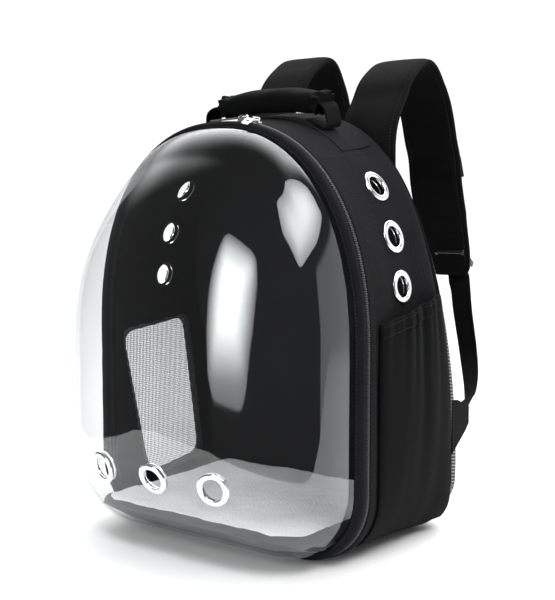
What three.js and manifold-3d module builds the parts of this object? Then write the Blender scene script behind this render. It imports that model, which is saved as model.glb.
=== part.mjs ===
// Bubble pet carrier backpack: a padded cloth bag with an arched front, a clear domed door that
// zips on, metal eyelets for air, a side pocket, a top handle and two shoulder straps.
// Millimetres, +Z up, +X to the right seen from the front, +Y towards the straps.
// The origin is on the ground under the flat base.
import * as THREE from 'three';
import { mergeVertices } from 'three/addons/utils/BufferGeometryUtils.js';
import Module from 'manifold-3d';

const wasm = await Module();
wasm.setup();

// Clearance between pieces that touch on the real bag
const GAP = 0.3;

// Body of the bag
const HALF_WIDTH = 162;
const BACK_HALF = 158;
const TAPER_SHARE = 0.4;
const SPRING = 196;
const ARCH_POWER = 2.28;
const CORNER = 64;
const BACK_CORNER = 46;
const FRONT_TOP = 409;
const BACK_TOP = 426;
const BASE_DEPTH = 169;
const TOP_DEPTH = 134;
const WALL = 4;
const BACK_BOTTOM_RADIUS = 14;
const BACK_EDGE_RADIUS = 8;

// How far the lower back stands out, as a share of the extra depth, by share of the height
const BACK_SHAPE = [
  { height: 0, share: 1 },
  { height: 0.17, share: 1 },
  { height: 0.33, share: 0.9 },
  { height: 0.42, share: 0.72 },
  { height: 0.54, share: 0.38 },
  { height: 0.67, share: 0.08 },
  { height: 0.8, share: 0 },
  { height: 1, share: 0 },
];

// Door: the rim plane where the bubble meets its binding, and the stack behind it
const RIM_Y = -89;
const RIM_HALF = 157;
const RIM_BASE = 8;
const RIM_TOP = 403;
const RIM_CORNER = 60;
const FRAME_LIP = 6;
const FRAME_WIDTH = 7.5;
const FRAME_INNER_LIP = 4;
const FRAME_DEPTH = 7;
const ZIP_DEPTH = 7.7;
const ZIP_RISE = 5;
const COIL_RISE = 2.8;
const COIL_WIDTH = 4;
const TAPE_THICKNESS = 1.4;

// Bubble
const BULGE = 107.5;
const BUBBLE_WALL = 2.2;
const FLANGE_WIDTH = 5.6;
const BUBBLE_LOW = 3;
const NOSE_Z = 154.6;
const LOWER_CORNER_SPREAD = 0.19;
const SETTLE_SHARE = 0.06;
const SIDE_CURVE = { rise: 4.08, fall: 1.05 };
const FLOOR_CURVE = { rise: 2.08, fall: 2.07 };
const CROWN_CURVE = { rise: 1.1, fall: 2.88 };
const BUBBLE_STEPS = 9;
const NOSE_SHARE = 0.992;

// Eyelets
const EYELET_RADIUS = 16;
const EYELET_HOLE = 10;
const EYELET_BARREL = 11.2;
const EYELET_RISE = 2.2;
const WASHER_RADIUS = 14.5;
const WASHER_THICKNESS = 1;
const EYELET_SIDES = 12;
const SIDE_EYELETS = [
  { y: -3.6, z: 348.5 },
  { y: -5.7, z: 301 },
  { y: -5.6, z: 254 },
];
const FRONT_EYELET_SPACING = 68.4;
const FRONT_EYELET_Z = 82;

// Back pad
const PAD_INSET = 3;
const PAD_SEAT = 0.7;
const PAD_BASE = 14;
const PAD_TOP_INSET = 10;
const PAD_CORNER = 40;
const PAD_THIN = 5;
const PAD_LUMBAR = 21;
const PAD_SHAPE = [
  { height: 0, share: 0.7 },
  { height: 0.17, share: 1 },
  { height: 0.33, share: 0.66 },
  { height: 0.42, share: 0.42 },
  { height: 0.54, share: 0.16 },
  { height: 0.67, share: 0 },
  { height: 1, share: 0 },
];

// Window in the left wall: corners by distance behind the rim and height
const WINDOW_CORNERS = [
  { behind: 26, z: 193 },
  { behind: 123, z: 204 },
  { behind: 151, z: 42 },
  { behind: 62, z: 33 },
];
const WINDOW_ROUND = 16;
const WINDOW_SEAM = 5;
const MESH_THICKNESS = 1;

// Pocket on the right wall
const POCKET_FRONT = 32;
const POCKET_TOP_FRONT = 223;
const POCKET_TOP_BACK = 237;
const POCKET_BACK_MARGIN = 11;
const POCKET_SEAT = 1;
const POCKET_CLOTH = 1.6;
const POCKET_BULGE = 11;
const POCKET_FOLDS = 5;
const POCKET_FOLD_DEPTH = 1.6;
const HEM_HEIGHT = 15;
const HEM_THICKNESS = 3;
const POCKET_COLUMNS = 20;

// Floor mat
const MAT_TOP = 38;
const MAT_HALF = 134;
const MAT_FRONT = 58;
const MAT_ROUND = 2.5;
const MAT_CLEARANCE = 5;
const MAT_COLUMNS = 6;

// Yoke patch on the top rear
const YOKE_HALF = 97;
const YOKE_FRONT_SHARE = 0.46;
const YOKE_BACK_SHARE = 0.9;
const YOKE_THICKNESS = 1.5;
const YOKE_SEAT = 0.8;
const YOKE_COLUMNS = 12;

// Top handle
const HANDLE_Y = -7;
const HANDLE_WEB_WIDTH = 25;
const HANDLE_WEB_THICKNESS = 2;
const HANDLE_HALF_SPAN = 76;
const HANDLE_FOOT = 24;
const HANDLE_RISE = 15.6;
const WRAP_HALF_LENGTH = 60;
const WRAP_WIDTH = 30;
const WRAP_HEIGHT = 21;

// Shoulder straps
const STRAP_X = 77.5;
const STRAP_WIDTH = 65;
const STRAP_THICKNESS = 8;
const STRAP_ROOT_Z = 364;
const STRAP_PEAK_Z = 480;
const STRAP_END_Z = 254;
const STRAP_REACH = 169.5;
const STRAP_END_SHIFT = 10;
const STRAP_STEPS = 18;

// The left strap stands higher and leans back further than the right one
const LEFT_STRAP = { shift: 6, lean: 34, rise: 17 };
const RIGHT_STRAP = { shift: 0, lean: 0, rise: 0 };

// The strap seen from the side: back as a share of its reach, up as a share from end to peak
const STRAP_ROUTE = [
  { back: 0, up: 0.487 },
  { back: 0.003, up: 0.642 },
  { back: 0.04, up: 0.73 },
  { back: 0.127, up: 0.827 },
  { back: 0.19, up: 0.898 },
  { back: 0.274, up: 0.951 },
  { back: 0.404, up: 1 },
  { back: 0.49, up: 0.982 },
  { back: 0.6, up: 0.903 },
  { back: 0.67, up: 0.836 },
  { back: 0.717, up: 0.765 },
  { back: 0.77, up: 0.655 },
  { back: 0.817, up: 0.575 },
  { back: 0.847, up: 0.456 },
  { back: 0.91, up: 0.31 },
  { back: 0.947, up: 0.212 },
  { back: 0.976, up: 0.11 },
  { back: 1, up: 0 },
];

// Width of the strap along its route, as a share of the full width
const STRAP_TAPER = [
  { along: 0, share: 1 },
  { along: 0.82, share: 1 },
  { along: 0.94, share: 0.76 },
  { along: 0.98, share: 0.66 },
  { along: 1, share: 0.52 },
];

// Cloth band across the outer face of each strap, over one of its steps
const BAND_STEP = 12;
const BAND_THIN = 1.2;
const BAND_THICK = 4;

// Strap adjuster, lower webbing and the tab that holds it
const WEB_WIDTH = 25;
const WEB_THICKNESS = 1.8;
const LOCK_WIDTH = 33;
const LOCK_HEIGHT = 27;
const LOCK_THICKNESS = 4;
const LOCK_BAR = 4;
const LOCK_TILT = THREE.MathUtils.degToRad(57);
const LOCK_ALONG = 0.955;
const TAB_LOW = 76;
const TAB_HIGH = 133;
const TAB_TIP_Z = 112;
const TAB_TIP_ROUND = 9;
const TAB_REACH = 26;
const TAB_THICKNESS = 2.4;

// Zip sliders and their pulls
const SLIDER_A_X = 22;
const SLIDER_B_X = 36;
const SLIDER_LENGTH = 11;
const SLIDER_WIDTH = 8;
const SLIDER_PLATE = 2.4;
const BRIDGE_WINDOW = 2.6;
const BRIDGE_BAR = 1.2;
const BRIDGE_HALF_SPAN = 3.2;
const BRIDGE_POST = 1.4;
const BRIDGE_WIDTH = 2.4;
const PULL_THICKNESS = 1.2;
const PULL_WIDTH = 5;
const PULL_A_LENGTH = 40;
const PULL_A_SETTLE = THREE.MathUtils.degToRad(5.5);
const PULL_B_LENGTH = 8.5;
const PULL_B_DROP = 8.5;
const PULL_B_WIDTH = 8;
const EYE_LENGTH = 5.6;
const EYE_WIDTH = 3.2;

// Steps round the arch
const CORNER_STEPS = 5;
const ARCH_STEPS = 12;

const PIVOT_RISE = SLIDER_PLATE + BRIDGE_WINDOW / 2;
const BODY_FRONT = FRAME_DEPTH + GAP + ZIP_DEPTH + GAP;
const RIM_SPRING_SHARE = (SPRING - RIM_BASE) / (RIM_TOP - RIM_BASE);

// Materials, one for each kind of surface
const finish = (color, roughness, metalness = 0) => (
  new THREE.MeshStandardMaterial({ color, roughness, metalness })
);
const CLOTH = finish(0x232327, 0.85);
const DARK_CLOTH = finish(0x121315, 0.9);
const WEBBING = finish(0x161618, 0.8);
const MESH_CLOTH = finish(0x4a4a4a, 0.9);
const METAL = finish(0xd8d8d8, 0.15, 1);
const PLASTIC = finish(0x141414, 0.4);
const PLUSH = finish(0xd9d9d9, 1);
const CLEAR = finish(0xf4f6f8, 0.04);
CLEAR.transparent = true;
CLEAR.opacity = 0.35;

// Value of a table's column at a position, by straight lines between its rows
function lookUp(table, key, column, at) {
  const last = table.length - 1;
  const next = Math.min(Math.max(table.findIndex((row) => row[key] >= at), 1), last);
  const low = at > table[last][key] ? table[last] : table[next - 1];
  const high = at > table[last][key] ? table[last] : table[next];
  const span = high[key] - low[key];
  const share = span > 0 ? THREE.MathUtils.clamp((at - low[key]) / span, 0, 1) : 0;
  return THREE.MathUtils.lerp(low[column], high[column], share);
}

// Solids

function signedVolume(points, faces) {
  let sum = 0;
  for (const [a, b, c] of faces) {
    sum += points[a].dot(new THREE.Vector3().crossVectors(points[b], points[c])) / 6;
  }
  return sum;
}

function solid(points, faces) {
  const outward = signedVolume(points, faces) > 0;
  const order = outward ? faces : faces.map(([a, b, c]) => [a, c, b]);
  const geometry = new THREE.BufferGeometry();
  geometry.setAttribute(
    'position',
    new THREE.Float32BufferAttribute(points.flatMap((p) => [p.x, p.y, p.z]), 3),
  );
  geometry.setIndex(order.flat());
  geometry.computeVertexNormals();
  return geometry;
}

// Faces between rings of the same count, each ring a closed loop of points
function bands(ringCount, size, closed) {
  const faces = [];
  const spans = closed ? ringCount : ringCount - 1;
  for (let r = 0; r < spans; r += 1) {
    const here = r * size;
    const there = ((r + 1) % ringCount) * size;
    for (let k = 0; k < size; k += 1) {
      const n = (k + 1) % size;
      faces.push([here + k, here + n, there + n], [here + k, there + n, there + k]);
    }
  }
  return faces;
}

// Cap that joins each point of a ring to the one opposite it, like the rungs of a ladder
function rungs(start, size, flip) {
  const faces = [];
  for (let k = 0; k < size / 2; k += 1) {
    const a = start + k;
    const b = start + k + 1;
    const c = start + ((size - k - 1) % size);
    const d = start + ((size - k) % size);
    for (const face of [[a, b, c], [a, c, d]]) {
      if (new Set(face).size === 3) faces.push(flip ? [face[0], face[2], face[1]] : face);
    }
  }
  return faces;
}

// Solid through rings, capped at both ends
function loft(rings) {
  const size = rings[0].length;
  const faces = [
    ...bands(rings.length, size, false),
    ...rungs(0, size, true),
    ...rungs((rings.length - 1) * size, size, false),
  ];
  return solid(rings.flat(), faces);
}

// Solid through rings that closes on itself
function hoop(rings) {
  return solid(rings.flat(), bands(rings.length, rings[0].length, true));
}

// Sheet between two grids of the same rows and columns
function sheet(front, back) {
  const rows = front.length;
  const columns = front[0].length;
  const offset = rows * columns;
  const at = (r, c) => r * columns + c;
  const faces = [];
  const quad = (a, b, c, d) => faces.push([a, b, c], [a, c, d]);
  for (let r = 0; r < rows - 1; r += 1) {
    for (let c = 0; c < columns - 1; c += 1) {
      quad(at(r, c), at(r, c + 1), at(r + 1, c + 1), at(r + 1, c));
      quad(offset + at(r + 1, c), offset + at(r + 1, c + 1), offset + at(r, c + 1), offset + at(r, c));
    }
  }
  const edge = [];
  for (let c = 0; c < columns - 1; c += 1) edge.push(at(0, c));
  for (let r = 0; r < rows - 1; r += 1) edge.push(at(r, columns - 1));
  for (let c = columns - 1; c > 0; c -= 1) edge.push(at(rows - 1, c));
  for (let r = rows - 1; r > 0; r -= 1) edge.push(at(r, 0));
  edge.forEach((a, i) => {
    const b = edge[(i + 1) % edge.length];
    quad(b, a, offset + a, offset + b);
  });
  return solid([...front.flat(), ...back.flat()], faces);
}

function welded(geometry) {
  const plain = geometry.clone();
  plain.deleteAttribute('normal');
  plain.deleteAttribute('uv');
  return mergeVertices(plain, 1e-4);
}

function toManifold(geometry) {
  const plain = welded(geometry);
  return new wasm.Manifold(new wasm.Mesh({
    numProp: 3,
    vertProperties: new Float32Array(plain.attributes.position.array),
    triVerts: new Uint32Array(plain.index.array),
  }));
}

function fromManifold(manifold) {
  const mesh = manifold.getMesh();
  const geometry = new THREE.BufferGeometry();
  geometry.setAttribute('position', new THREE.BufferAttribute(mesh.vertProperties, 3));
  geometry.setIndex(new THREE.BufferAttribute(mesh.triVerts, 1));
  geometry.computeVertexNormals();
  return geometry;
}

function cut(geometry, tools) {
  const start = toManifold(geometry);
  return fromManifold(tools.reduce((rest, tool) => rest.subtract(toManifold(tool)), start));
}

function join(first, second) {
  return fromManifold(toManifold(first).add(toManifold(second)));
}

function overlap(first, second) {
  return fromManifold(toManifold(first).intersect(toManifold(second)));
}

// Outlines of the arch, counted from the middle of the base round the right side

function archOutline({ half, base, top, spring, corner }) {
  const right = [{ x: 0, z: base }];
  for (let i = 0; i <= CORNER_STEPS; i += 1) {
    const angle = (i / CORNER_STEPS) * (Math.PI / 2);
    right.push({
      x: half - corner + corner * Math.sin(angle),
      z: base + corner * (1 - Math.cos(angle)),
    });
  }
  right.push({ x: half, z: (base + corner + spring) / 2 });
  for (let i = 0; i <= ARCH_STEPS; i += 1) {
    const angle = (i / ARCH_STEPS) * (Math.PI / 2);
    right.push({
      x: half * Math.max(Math.cos(angle), 0) ** (2 / ARCH_POWER),
      z: spring + (top - spring) * Math.sin(angle) ** (2 / ARCH_POWER),
    });
  }
  const left = right.slice(1, -1).reverse().map(({ x, z }) => ({ x: -x, z }));
  return withNormals([...right, ...left]);
}

function withNormals(points) {
  const count = points.length;
  return points.map((point, i) => {
    const before = points[(i + count - 1) % count];
    const after = points[(i + 1) % count];
    const into = new THREE.Vector2(point.x - before.x, point.z - before.z).normalize();
    const out = new THREE.Vector2(after.x - point.x, after.z - point.z).normalize();
    const along = into.add(out).normalize();
    return { ...point, nx: along.y, nz: -along.x };
  });
}

const rimOutline = archOutline({
  half: RIM_HALF, base: RIM_BASE, top: RIM_TOP, spring: SPRING, corner: RIM_CORNER,
});

// A ring parallel to the rim, moved out by a distance and back by a depth
function rimRing(out, depth) {
  return rimOutline.map(({ x, z, nx, nz }) => (
    new THREE.Vector3(x + nx * out, RIM_Y + depth, z + nz * out)
  ));
}

// Body surface

const bodyDepth = (z) => (
  TOP_DEPTH + (BASE_DEPTH - TOP_DEPTH) * lookUp(BACK_SHAPE, 'height', 'share', z / BACK_TOP)
);
const bodyTop = (share) => THREE.MathUtils.lerp(FRONT_TOP, BACK_TOP, share);
const bodyHalf = (share) => (
  THREE.MathUtils.lerp(HALF_WIDTH, BACK_HALF, Math.min(1, share / TAPER_SHARE))
);
const bodyCorner = (share) => THREE.MathUtils.lerp(CORNER, BACK_CORNER, share);
const bodyY = (share, z, radius = backRadius(z)) => (
  RIM_Y + THREE.MathUtils.lerp(BODY_FRONT, bodyDepth(z) - radius, share)
);

const bodyOutline = (share) => archOutline({
  half: bodyHalf(share),
  base: 0,
  top: bodyTop(share),
  spring: SPRING,
  corner: bodyCorner(share),
});

// The back edge is rounder along the floor than up the sides
function backRadius(z) {
  const floorShare = THREE.MathUtils.clamp(1 - z / CORNER, 0, 1);
  return THREE.MathUtils.lerp(BACK_EDGE_RADIUS, BACK_BOTTOM_RADIUS, floorShare);
}

// One ring of the body at a share of the straight depth. The turn goes round the back edge, from
// 0 to a quarter circle, and the offset is measured outwards from the outer face.
function bodyRing(share, turn, offset) {
  const turned = Math.sin(turn);
  const straight = Math.cos(turn);
  return bodyOutline(share).map(({ x, z, nx, nz }) => {
    const radius = backRadius(z);
    const inset = radius * (1 - straight) - offset * straight;
    const height = z - nz * inset;
    const back = (radius + offset) * turned;
    return new THREE.Vector3(x - nx * inset, bodyY(share, height, radius) + back, height);
  });
}

// Rings from the front edge to the back, with the round at the back edge
const BODY_RINGS = [
  { share: 0, turn: 0 },
  { share: TAPER_SHARE, turn: 0 },
  { share: 0.72, turn: 0 },
  { share: 1, turn: 0 },
  { share: 1, turn: Math.PI / 6 },
  { share: 1, turn: Math.PI / 3 },
  { share: 1, turn: Math.PI / 2 },
];

function bodyShell() {
  const outer = BODY_RINGS.map(({ share, turn }) => bodyRing(share, turn, 0));
  const inner = BODY_RINGS.map(({ share, turn }) => bodyRing(share, turn, -WALL)).reverse();
  return loft([...outer.reverse(), ...inner.reverse()]);
}

// Point and outward normal on the top of the body at a distance from the middle
function archPoint(x, share) {
  const rise = bodyTop(share) - SPRING;
  const half = bodyHalf(share);
  const height = (at) => rise * (1 - (Math.abs(at) / half) ** ARCH_POWER) ** (1 / ARCH_POWER);
  const step = 0.5;
  const slope = (height(x + step) - height(x - step)) / (2 * step);
  const length = Math.hypot(slope, 1);
  return { x, z: SPRING + height(x), nx: -slope / length, nz: 1 / length };
}

// Half width of the body's side at a share of the depth and a height
function sideX(share, z) {
  const half = bodyHalf(share);
  const corner = bodyCorner(share);
  if (z < corner) return half - corner + Math.sqrt(corner ** 2 - (corner - z) ** 2);
  if (z < SPRING) return half;
  const up = (z - SPRING) / (bodyTop(share) - SPRING);
  return half * (1 - up ** ARCH_POWER) ** (1 / ARCH_POWER);
}

// Bubble

const falloff = (share, { rise, fall }) => (1 - share ** rise) ** (1 / fall);

function bubbleSection(share, inset) {
  const settled = Math.max(0, 1 - share / SETTLE_SHARE) ** 2;
  const low = THREE.MathUtils.lerp(BUBBLE_LOW, RIM_BASE, settled);
  const half = RIM_HALF * falloff(share, SIDE_CURVE) - inset;
  const base = low + (NOSE_Z - low) * (1 - falloff(share, FLOOR_CURVE)) + inset;
  const top = RIM_TOP - (RIM_TOP - NOSE_Z) * (1 - falloff(share, CROWN_CURVE)) - inset;
  const spring = THREE.MathUtils.lerp(base, top, RIM_SPRING_SHARE);
  const spread = (1 + LOWER_CORNER_SPREAD * (1 - settled)) * falloff(share, SIDE_CURVE);
  const corner = Math.min(RIM_CORNER * spread - inset, 0.9 * half, 0.9 * (spring - base));
  return { half, base, top, spring, corner };
}

function bubbleRing(share, inset) {
  const y = RIM_Y - (BULGE - inset) * share;
  return archOutline(bubbleSection(share, inset)).map(({ x, z }) => new THREE.Vector3(x, y, z));
}

function bubbleShell() {
  const shares = Array.from(
    { length: BUBBLE_STEPS },
    (_, i) => NOSE_SHARE * Math.sin(((i + 1) / BUBBLE_STEPS) * (Math.PI / 2)),
  );
  const flangeFront = (FRAME_DEPTH - BUBBLE_WALL) / 2;
  const flangeBack = flangeFront + BUBBLE_WALL;
  const outer = shares.map((share) => bubbleRing(share, 0)).reverse();
  const rim = [
    rimRing(0, 0),
    rimRing(0, flangeFront),
    rimRing(FLANGE_WIDTH, flangeFront),
    rimRing(FLANGE_WIDTH, flangeBack),
    rimRing(-BUBBLE_WALL, flangeBack),
    rimRing(-BUBBLE_WALL, 0),
  ];
  const inner = shares.map((share) => bubbleRing(share, BUBBLE_WALL));
  return loft([...outer, ...rim, ...inner]);
}

// Door binding: a channel that opens inwards and holds the bubble's flange
function doorFrame() {
  const flangeFront = (FRAME_DEPTH - BUBBLE_WALL) / 2;
  const flangeBack = flangeFront + BUBBLE_WALL;
  const floor = FLANGE_WIDTH + GAP;
  const profile = [
    { out: GAP, depth: -0.6 },
    { out: FRAME_LIP - 1.5, depth: -0.9 },
    { out: FRAME_WIDTH - 0.6, depth: 0.6 },
    { out: FRAME_WIDTH, depth: 2.2 },
    { out: FRAME_WIDTH, depth: FRAME_DEPTH },
    { out: -FRAME_INNER_LIP, depth: FRAME_DEPTH },
    { out: -FRAME_INNER_LIP, depth: flangeBack + GAP },
    { out: floor, depth: flangeBack + GAP },
    { out: floor, depth: flangeFront - GAP },
    { out: GAP, depth: flangeFront - GAP },
  ];
  return hoop(profile.map(({ out, depth }) => rimRing(out, depth)));
}

// Zip round the arch: a flat tape with the coil as a rounded bead along its middle
const zipFront = FRAME_DEPTH + GAP;
const coilMiddle = zipFront + ZIP_DEPTH / 2;
const ZIP_PROFILE = [
  { out: ZIP_RISE - TAPE_THICKNESS, depth: zipFront },
  { out: ZIP_RISE, depth: zipFront },
  { out: ZIP_RISE, depth: coilMiddle - COIL_WIDTH / 2 },
  { out: ZIP_RISE + COIL_RISE, depth: coilMiddle - COIL_WIDTH / 4 },
  { out: ZIP_RISE + COIL_RISE, depth: coilMiddle + COIL_WIDTH / 4 },
  { out: ZIP_RISE, depth: coilMiddle + COIL_WIDTH / 2 },
  { out: ZIP_RISE, depth: zipFront + ZIP_DEPTH },
  { out: ZIP_RISE - TAPE_THICKNESS, depth: zipFront + ZIP_DEPTH },
];

function zipper() {
  const sections = rimOutline.slice(1).map(({ x, z, nx, nz }) => (
    ZIP_PROFILE.map(({ out, depth }) => new THREE.Vector3(x + nx * out, RIM_Y + depth, z + nz * out))
  ));
  return loft(sections);
}

// Plain cloth along the floor, where the door hangs when it is open
function hingeStrip() {
  const end = RIM_HALF - RIM_CORNER - GAP;
  const depths = [zipFront, zipFront + ZIP_DEPTH];
  const grid = (out) => depths.map((depth) => [-end, end].map((x) => (
    new THREE.Vector3(x, RIM_Y + depth, RIM_BASE - out)
  )));
  return sheet(grid(ZIP_RISE), grid(ZIP_RISE - TAPE_THICKNESS));
}

// Eyelets

// Where a piece sits on a wall: the point, the outward normal, and how far the outer and inner
// faces rise and dip across the eyelet, found by rays through the wall
function seatOn(geometry, origin, direction, radius) {
  const wall = new THREE.Mesh(geometry, new THREE.MeshBasicMaterial({ side: THREE.DoubleSide }));
  const side = new THREE.Vector3(0, 0, 1).cross(direction);
  if (side.length() < 0.5) side.set(1, 0, 0);
  side.normalize();
  const up = new THREE.Vector3().crossVectors(direction, side);
  const through = (angle, reach) => {
    const start = origin.clone()
      .addScaledVector(side, reach * Math.cos(angle))
      .addScaledVector(up, reach * Math.sin(angle));
    const hits = new THREE.Raycaster(start, direction).intersectObject(wall);
    const outer = hits[0].point;
    const inner = hits.find((hit) => hit.point.distanceTo(outer) > 1e-3).point;
    return { outer, inner };
  };
  const middle = through(0, 0);
  const around = Array.from({ length: 8 }, (_, i) => through((i * Math.PI) / 4, radius));
  const across = around[0].outer.clone().sub(around[4].outer);
  const along = around[2].outer.clone().sub(around[6].outer);
  const normal = across.cross(along).normalize();
  if (normal.dot(direction) > 0) normal.negate();
  const height = (point) => point.clone().sub(middle.outer).dot(normal);
  const all = [middle, ...around];
  return {
    point: middle.outer,
    normal,
    rise: Math.max(...all.map(({ outer }) => height(outer))),
    dip: Math.min(...all.map(({ inner }) => height(inner))),
  };
}

function eyelet({ rise, dip }) {
  const front = rise + GAP;
  const back = dip - GAP;
  const profile = [
    [EYELET_HOLE, back - WASHER_THICKNESS],
    [WASHER_RADIUS, back - WASHER_THICKNESS],
    [WASHER_RADIUS, back],
    [EYELET_BARREL, back],
    [EYELET_BARREL, front],
    [EYELET_RADIUS, front],
    [EYELET_RADIUS - 0.5, front + EYELET_RISE * 0.6],
    [EYELET_RADIUS - 2.8, front + EYELET_RISE],
    [EYELET_HOLE + 0.8, front + EYELET_RISE * 0.7],
    [EYELET_HOLE, front],
    [EYELET_HOLE, back - WASHER_THICKNESS],
  ];
  const points = profile.map(([radius, height]) => new THREE.Vector2(radius, height));
  return welded(new THREE.LatheGeometry(points, EYELET_SIDES));
}

const AXIS_Y = new THREE.Vector3(0, 1, 0);

function eyeletHole({ point, normal }) {
  const length = 60;
  const radius = EYELET_BARREL + 2 * GAP;
  const tool = new THREE.CylinderGeometry(radius, radius, length, EYELET_SIDES);
  tool.applyQuaternion(new THREE.Quaternion().setFromUnitVectors(AXIS_Y, normal));
  tool.translate(point.x, point.y, point.z);
  return tool;
}

function placeEyelet(name, seat) {
  const mesh = named(name, eyelet(seat), METAL);
  mesh.quaternion.setFromUnitVectors(AXIS_Y, seat.normal);
  mesh.position.copy(seat.point);
  return mesh;
}

function named(name, geometry, material) {
  const mesh = new THREE.Mesh(geometry, material);
  mesh.name = name;
  return mesh;
}

// Window and its mesh

// Prism along X through the left wall, grown outwards by a margin
function windowPrism(margin) {
  const middleBehind = WINDOW_CORNERS.reduce((sum, c) => sum + c.behind, 0) / WINDOW_CORNERS.length;
  const middleZ = WINDOW_CORNERS.reduce((sum, c) => sum + c.z, 0) / WINDOW_CORNERS.length;
  const corners = WINDOW_CORNERS.map(({ behind, z }) => new THREE.Vector2(
    RIM_Y + behind + margin * Math.sign(behind - middleBehind),
    z + margin * Math.sign(z - middleZ),
  ));
  const shape = new THREE.Shape();
  corners.forEach((corner, i) => {
    const before = corners[(i + corners.length - 1) % corners.length];
    const after = corners[(i + 1) % corners.length];
    const enter = before.clone().sub(corner).setLength(WINDOW_ROUND).add(corner);
    const leave = after.clone().sub(corner).setLength(WINDOW_ROUND).add(corner);
    if (i === 0) shape.moveTo(enter.x, enter.y);
    else shape.lineTo(enter.x, enter.y);
    shape.quadraticCurveTo(corner.x, corner.y, leave.x, leave.y);
  });
  shape.closePath();
  const depth = HALF_WIDTH;
  const prism = new THREE.ExtrudeGeometry(shape, { depth, bevelEnabled: false, curveSegments: 4 });
  const basis = new THREE.Matrix4().makeBasis(
    new THREE.Vector3(0, 1, 0),
    new THREE.Vector3(0, 0, 1),
    new THREE.Vector3(1, 0, 0),
  );
  prism.applyMatrix4(basis);
  prism.translate(-HALF_WIDTH * 1.5, 0, 0);
  return prism;
}

function windowMesh() {
  const outside = -WALL - 2 * GAP;
  const inside = outside - MESH_THICKNESS;
  const ends = [0.02, TAPER_SHARE, 0.99];
  const lining = hoop([
    ...ends.map((share) => bodyRing(share, 0, outside)),
    ...ends.map((share) => bodyRing(share, 0, inside)).reverse(),
  ]);
  return overlap(lining, windowPrism(WINDOW_SEAM));
}

// Back pad: thicker at the lower back, with a rounded outer edge
function backPad() {
  const outline = archOutline({
    half: BACK_HALF - PAD_INSET,
    base: PAD_BASE,
    top: BACK_TOP - PAD_TOP_INSET,
    spring: SPRING,
    corner: PAD_CORNER,
  });
  const rows = [
    { inset: 3, depth: 0 },
    { inset: 0, depth: 0.3 },
    { inset: 0.5, depth: 0.7 },
    { inset: 6, depth: 0.97 },
    { inset: 22, depth: 1 },
  ];
  return loft(rows.map(({ inset, depth }) => outline.map(({ x, z, nx, nz }) => {
    const height = z - nz * inset;
    return new THREE.Vector3(x - nx * inset, padFront(height) + padThickness(height) * depth, height);
  })));
}

const padFront = (z) => RIM_Y + bodyDepth(z) + PAD_SEAT;
const padThickness = (z) => (
  PAD_THIN + (PAD_LUMBAR - PAD_THIN) * lookUp(PAD_SHAPE, 'height', 'share', z / BACK_TOP)
);
const padBack = (z) => padFront(z) + padThickness(z);

// Pocket and hem, as bulging sheets over the right side

const pocketTop = (along) => THREE.MathUtils.lerp(POCKET_TOP_FRONT, POCKET_TOP_BACK, along);

// Distance of the pocket from the side wall, by share along its width and height
function pocketBulge(along, up) {
  const swell = Math.sin(Math.PI * along) ** 0.6 * Math.sin((Math.PI / 2) * Math.min(1, up * 1.6));
  const fold = Math.sin(Math.PI * along) * Math.cos(2 * Math.PI * POCKET_FOLDS * along) * up;
  return Math.max(0, POCKET_BULGE * swell + POCKET_FOLD_DEPTH * fold);
}

function pocketPoint(along, z, up, out) {
  const back = RIM_Y + bodyDepth(z) - POCKET_BACK_MARGIN;
  const y = THREE.MathUtils.lerp(RIM_Y + POCKET_FRONT, back, along);
  const share = (y - bodyY(0, z)) / (bodyY(1, z) - bodyY(0, z));
  return new THREE.Vector3(sideX(share, z) + POCKET_SEAT + pocketBulge(along, up) + out, y, z);
}

const pocketAlong = Array.from({ length: POCKET_COLUMNS + 1 }, (_, i) => i / POCKET_COLUMNS);

function sidePocket() {
  const levels = bodyOutline(0).slice(3, 9).map(({ z }) => z);
  const floor = levels[0];
  const grid = (out) => {
    const wall = levels.map((z) => pocketAlong.map((along) => (
      pocketPoint(along, z, (z - floor) / (POCKET_TOP_FRONT - floor), out)
    )));
    const mouth = pocketAlong.map((along) => (
      pocketPoint(along, pocketTop(along) - HEM_HEIGHT - GAP, 1, out)
    ));
    return [...wall, mouth];
  };
  return sheet(grid(POCKET_CLOTH), grid(0));
}

function pocketHem() {
  const extra = (HEM_THICKNESS - POCKET_CLOTH) / 2;
  const grid = (out) => [HEM_HEIGHT, 0].map((down) => pocketAlong.map((along) => (
    pocketPoint(along, pocketTop(along) - down, 1, out)
  )));
  return sheet(grid(POCKET_CLOTH + 2 * extra), grid(0));
}

// Half width of the lower part of an arched section at a height
function halfAt({ half, base, corner }, z) {
  const above = Math.min(Math.max(z - base, 0), corner);
  return half - corner + Math.sqrt(corner ** 2 - (corner - above) ** 2);
}

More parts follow.
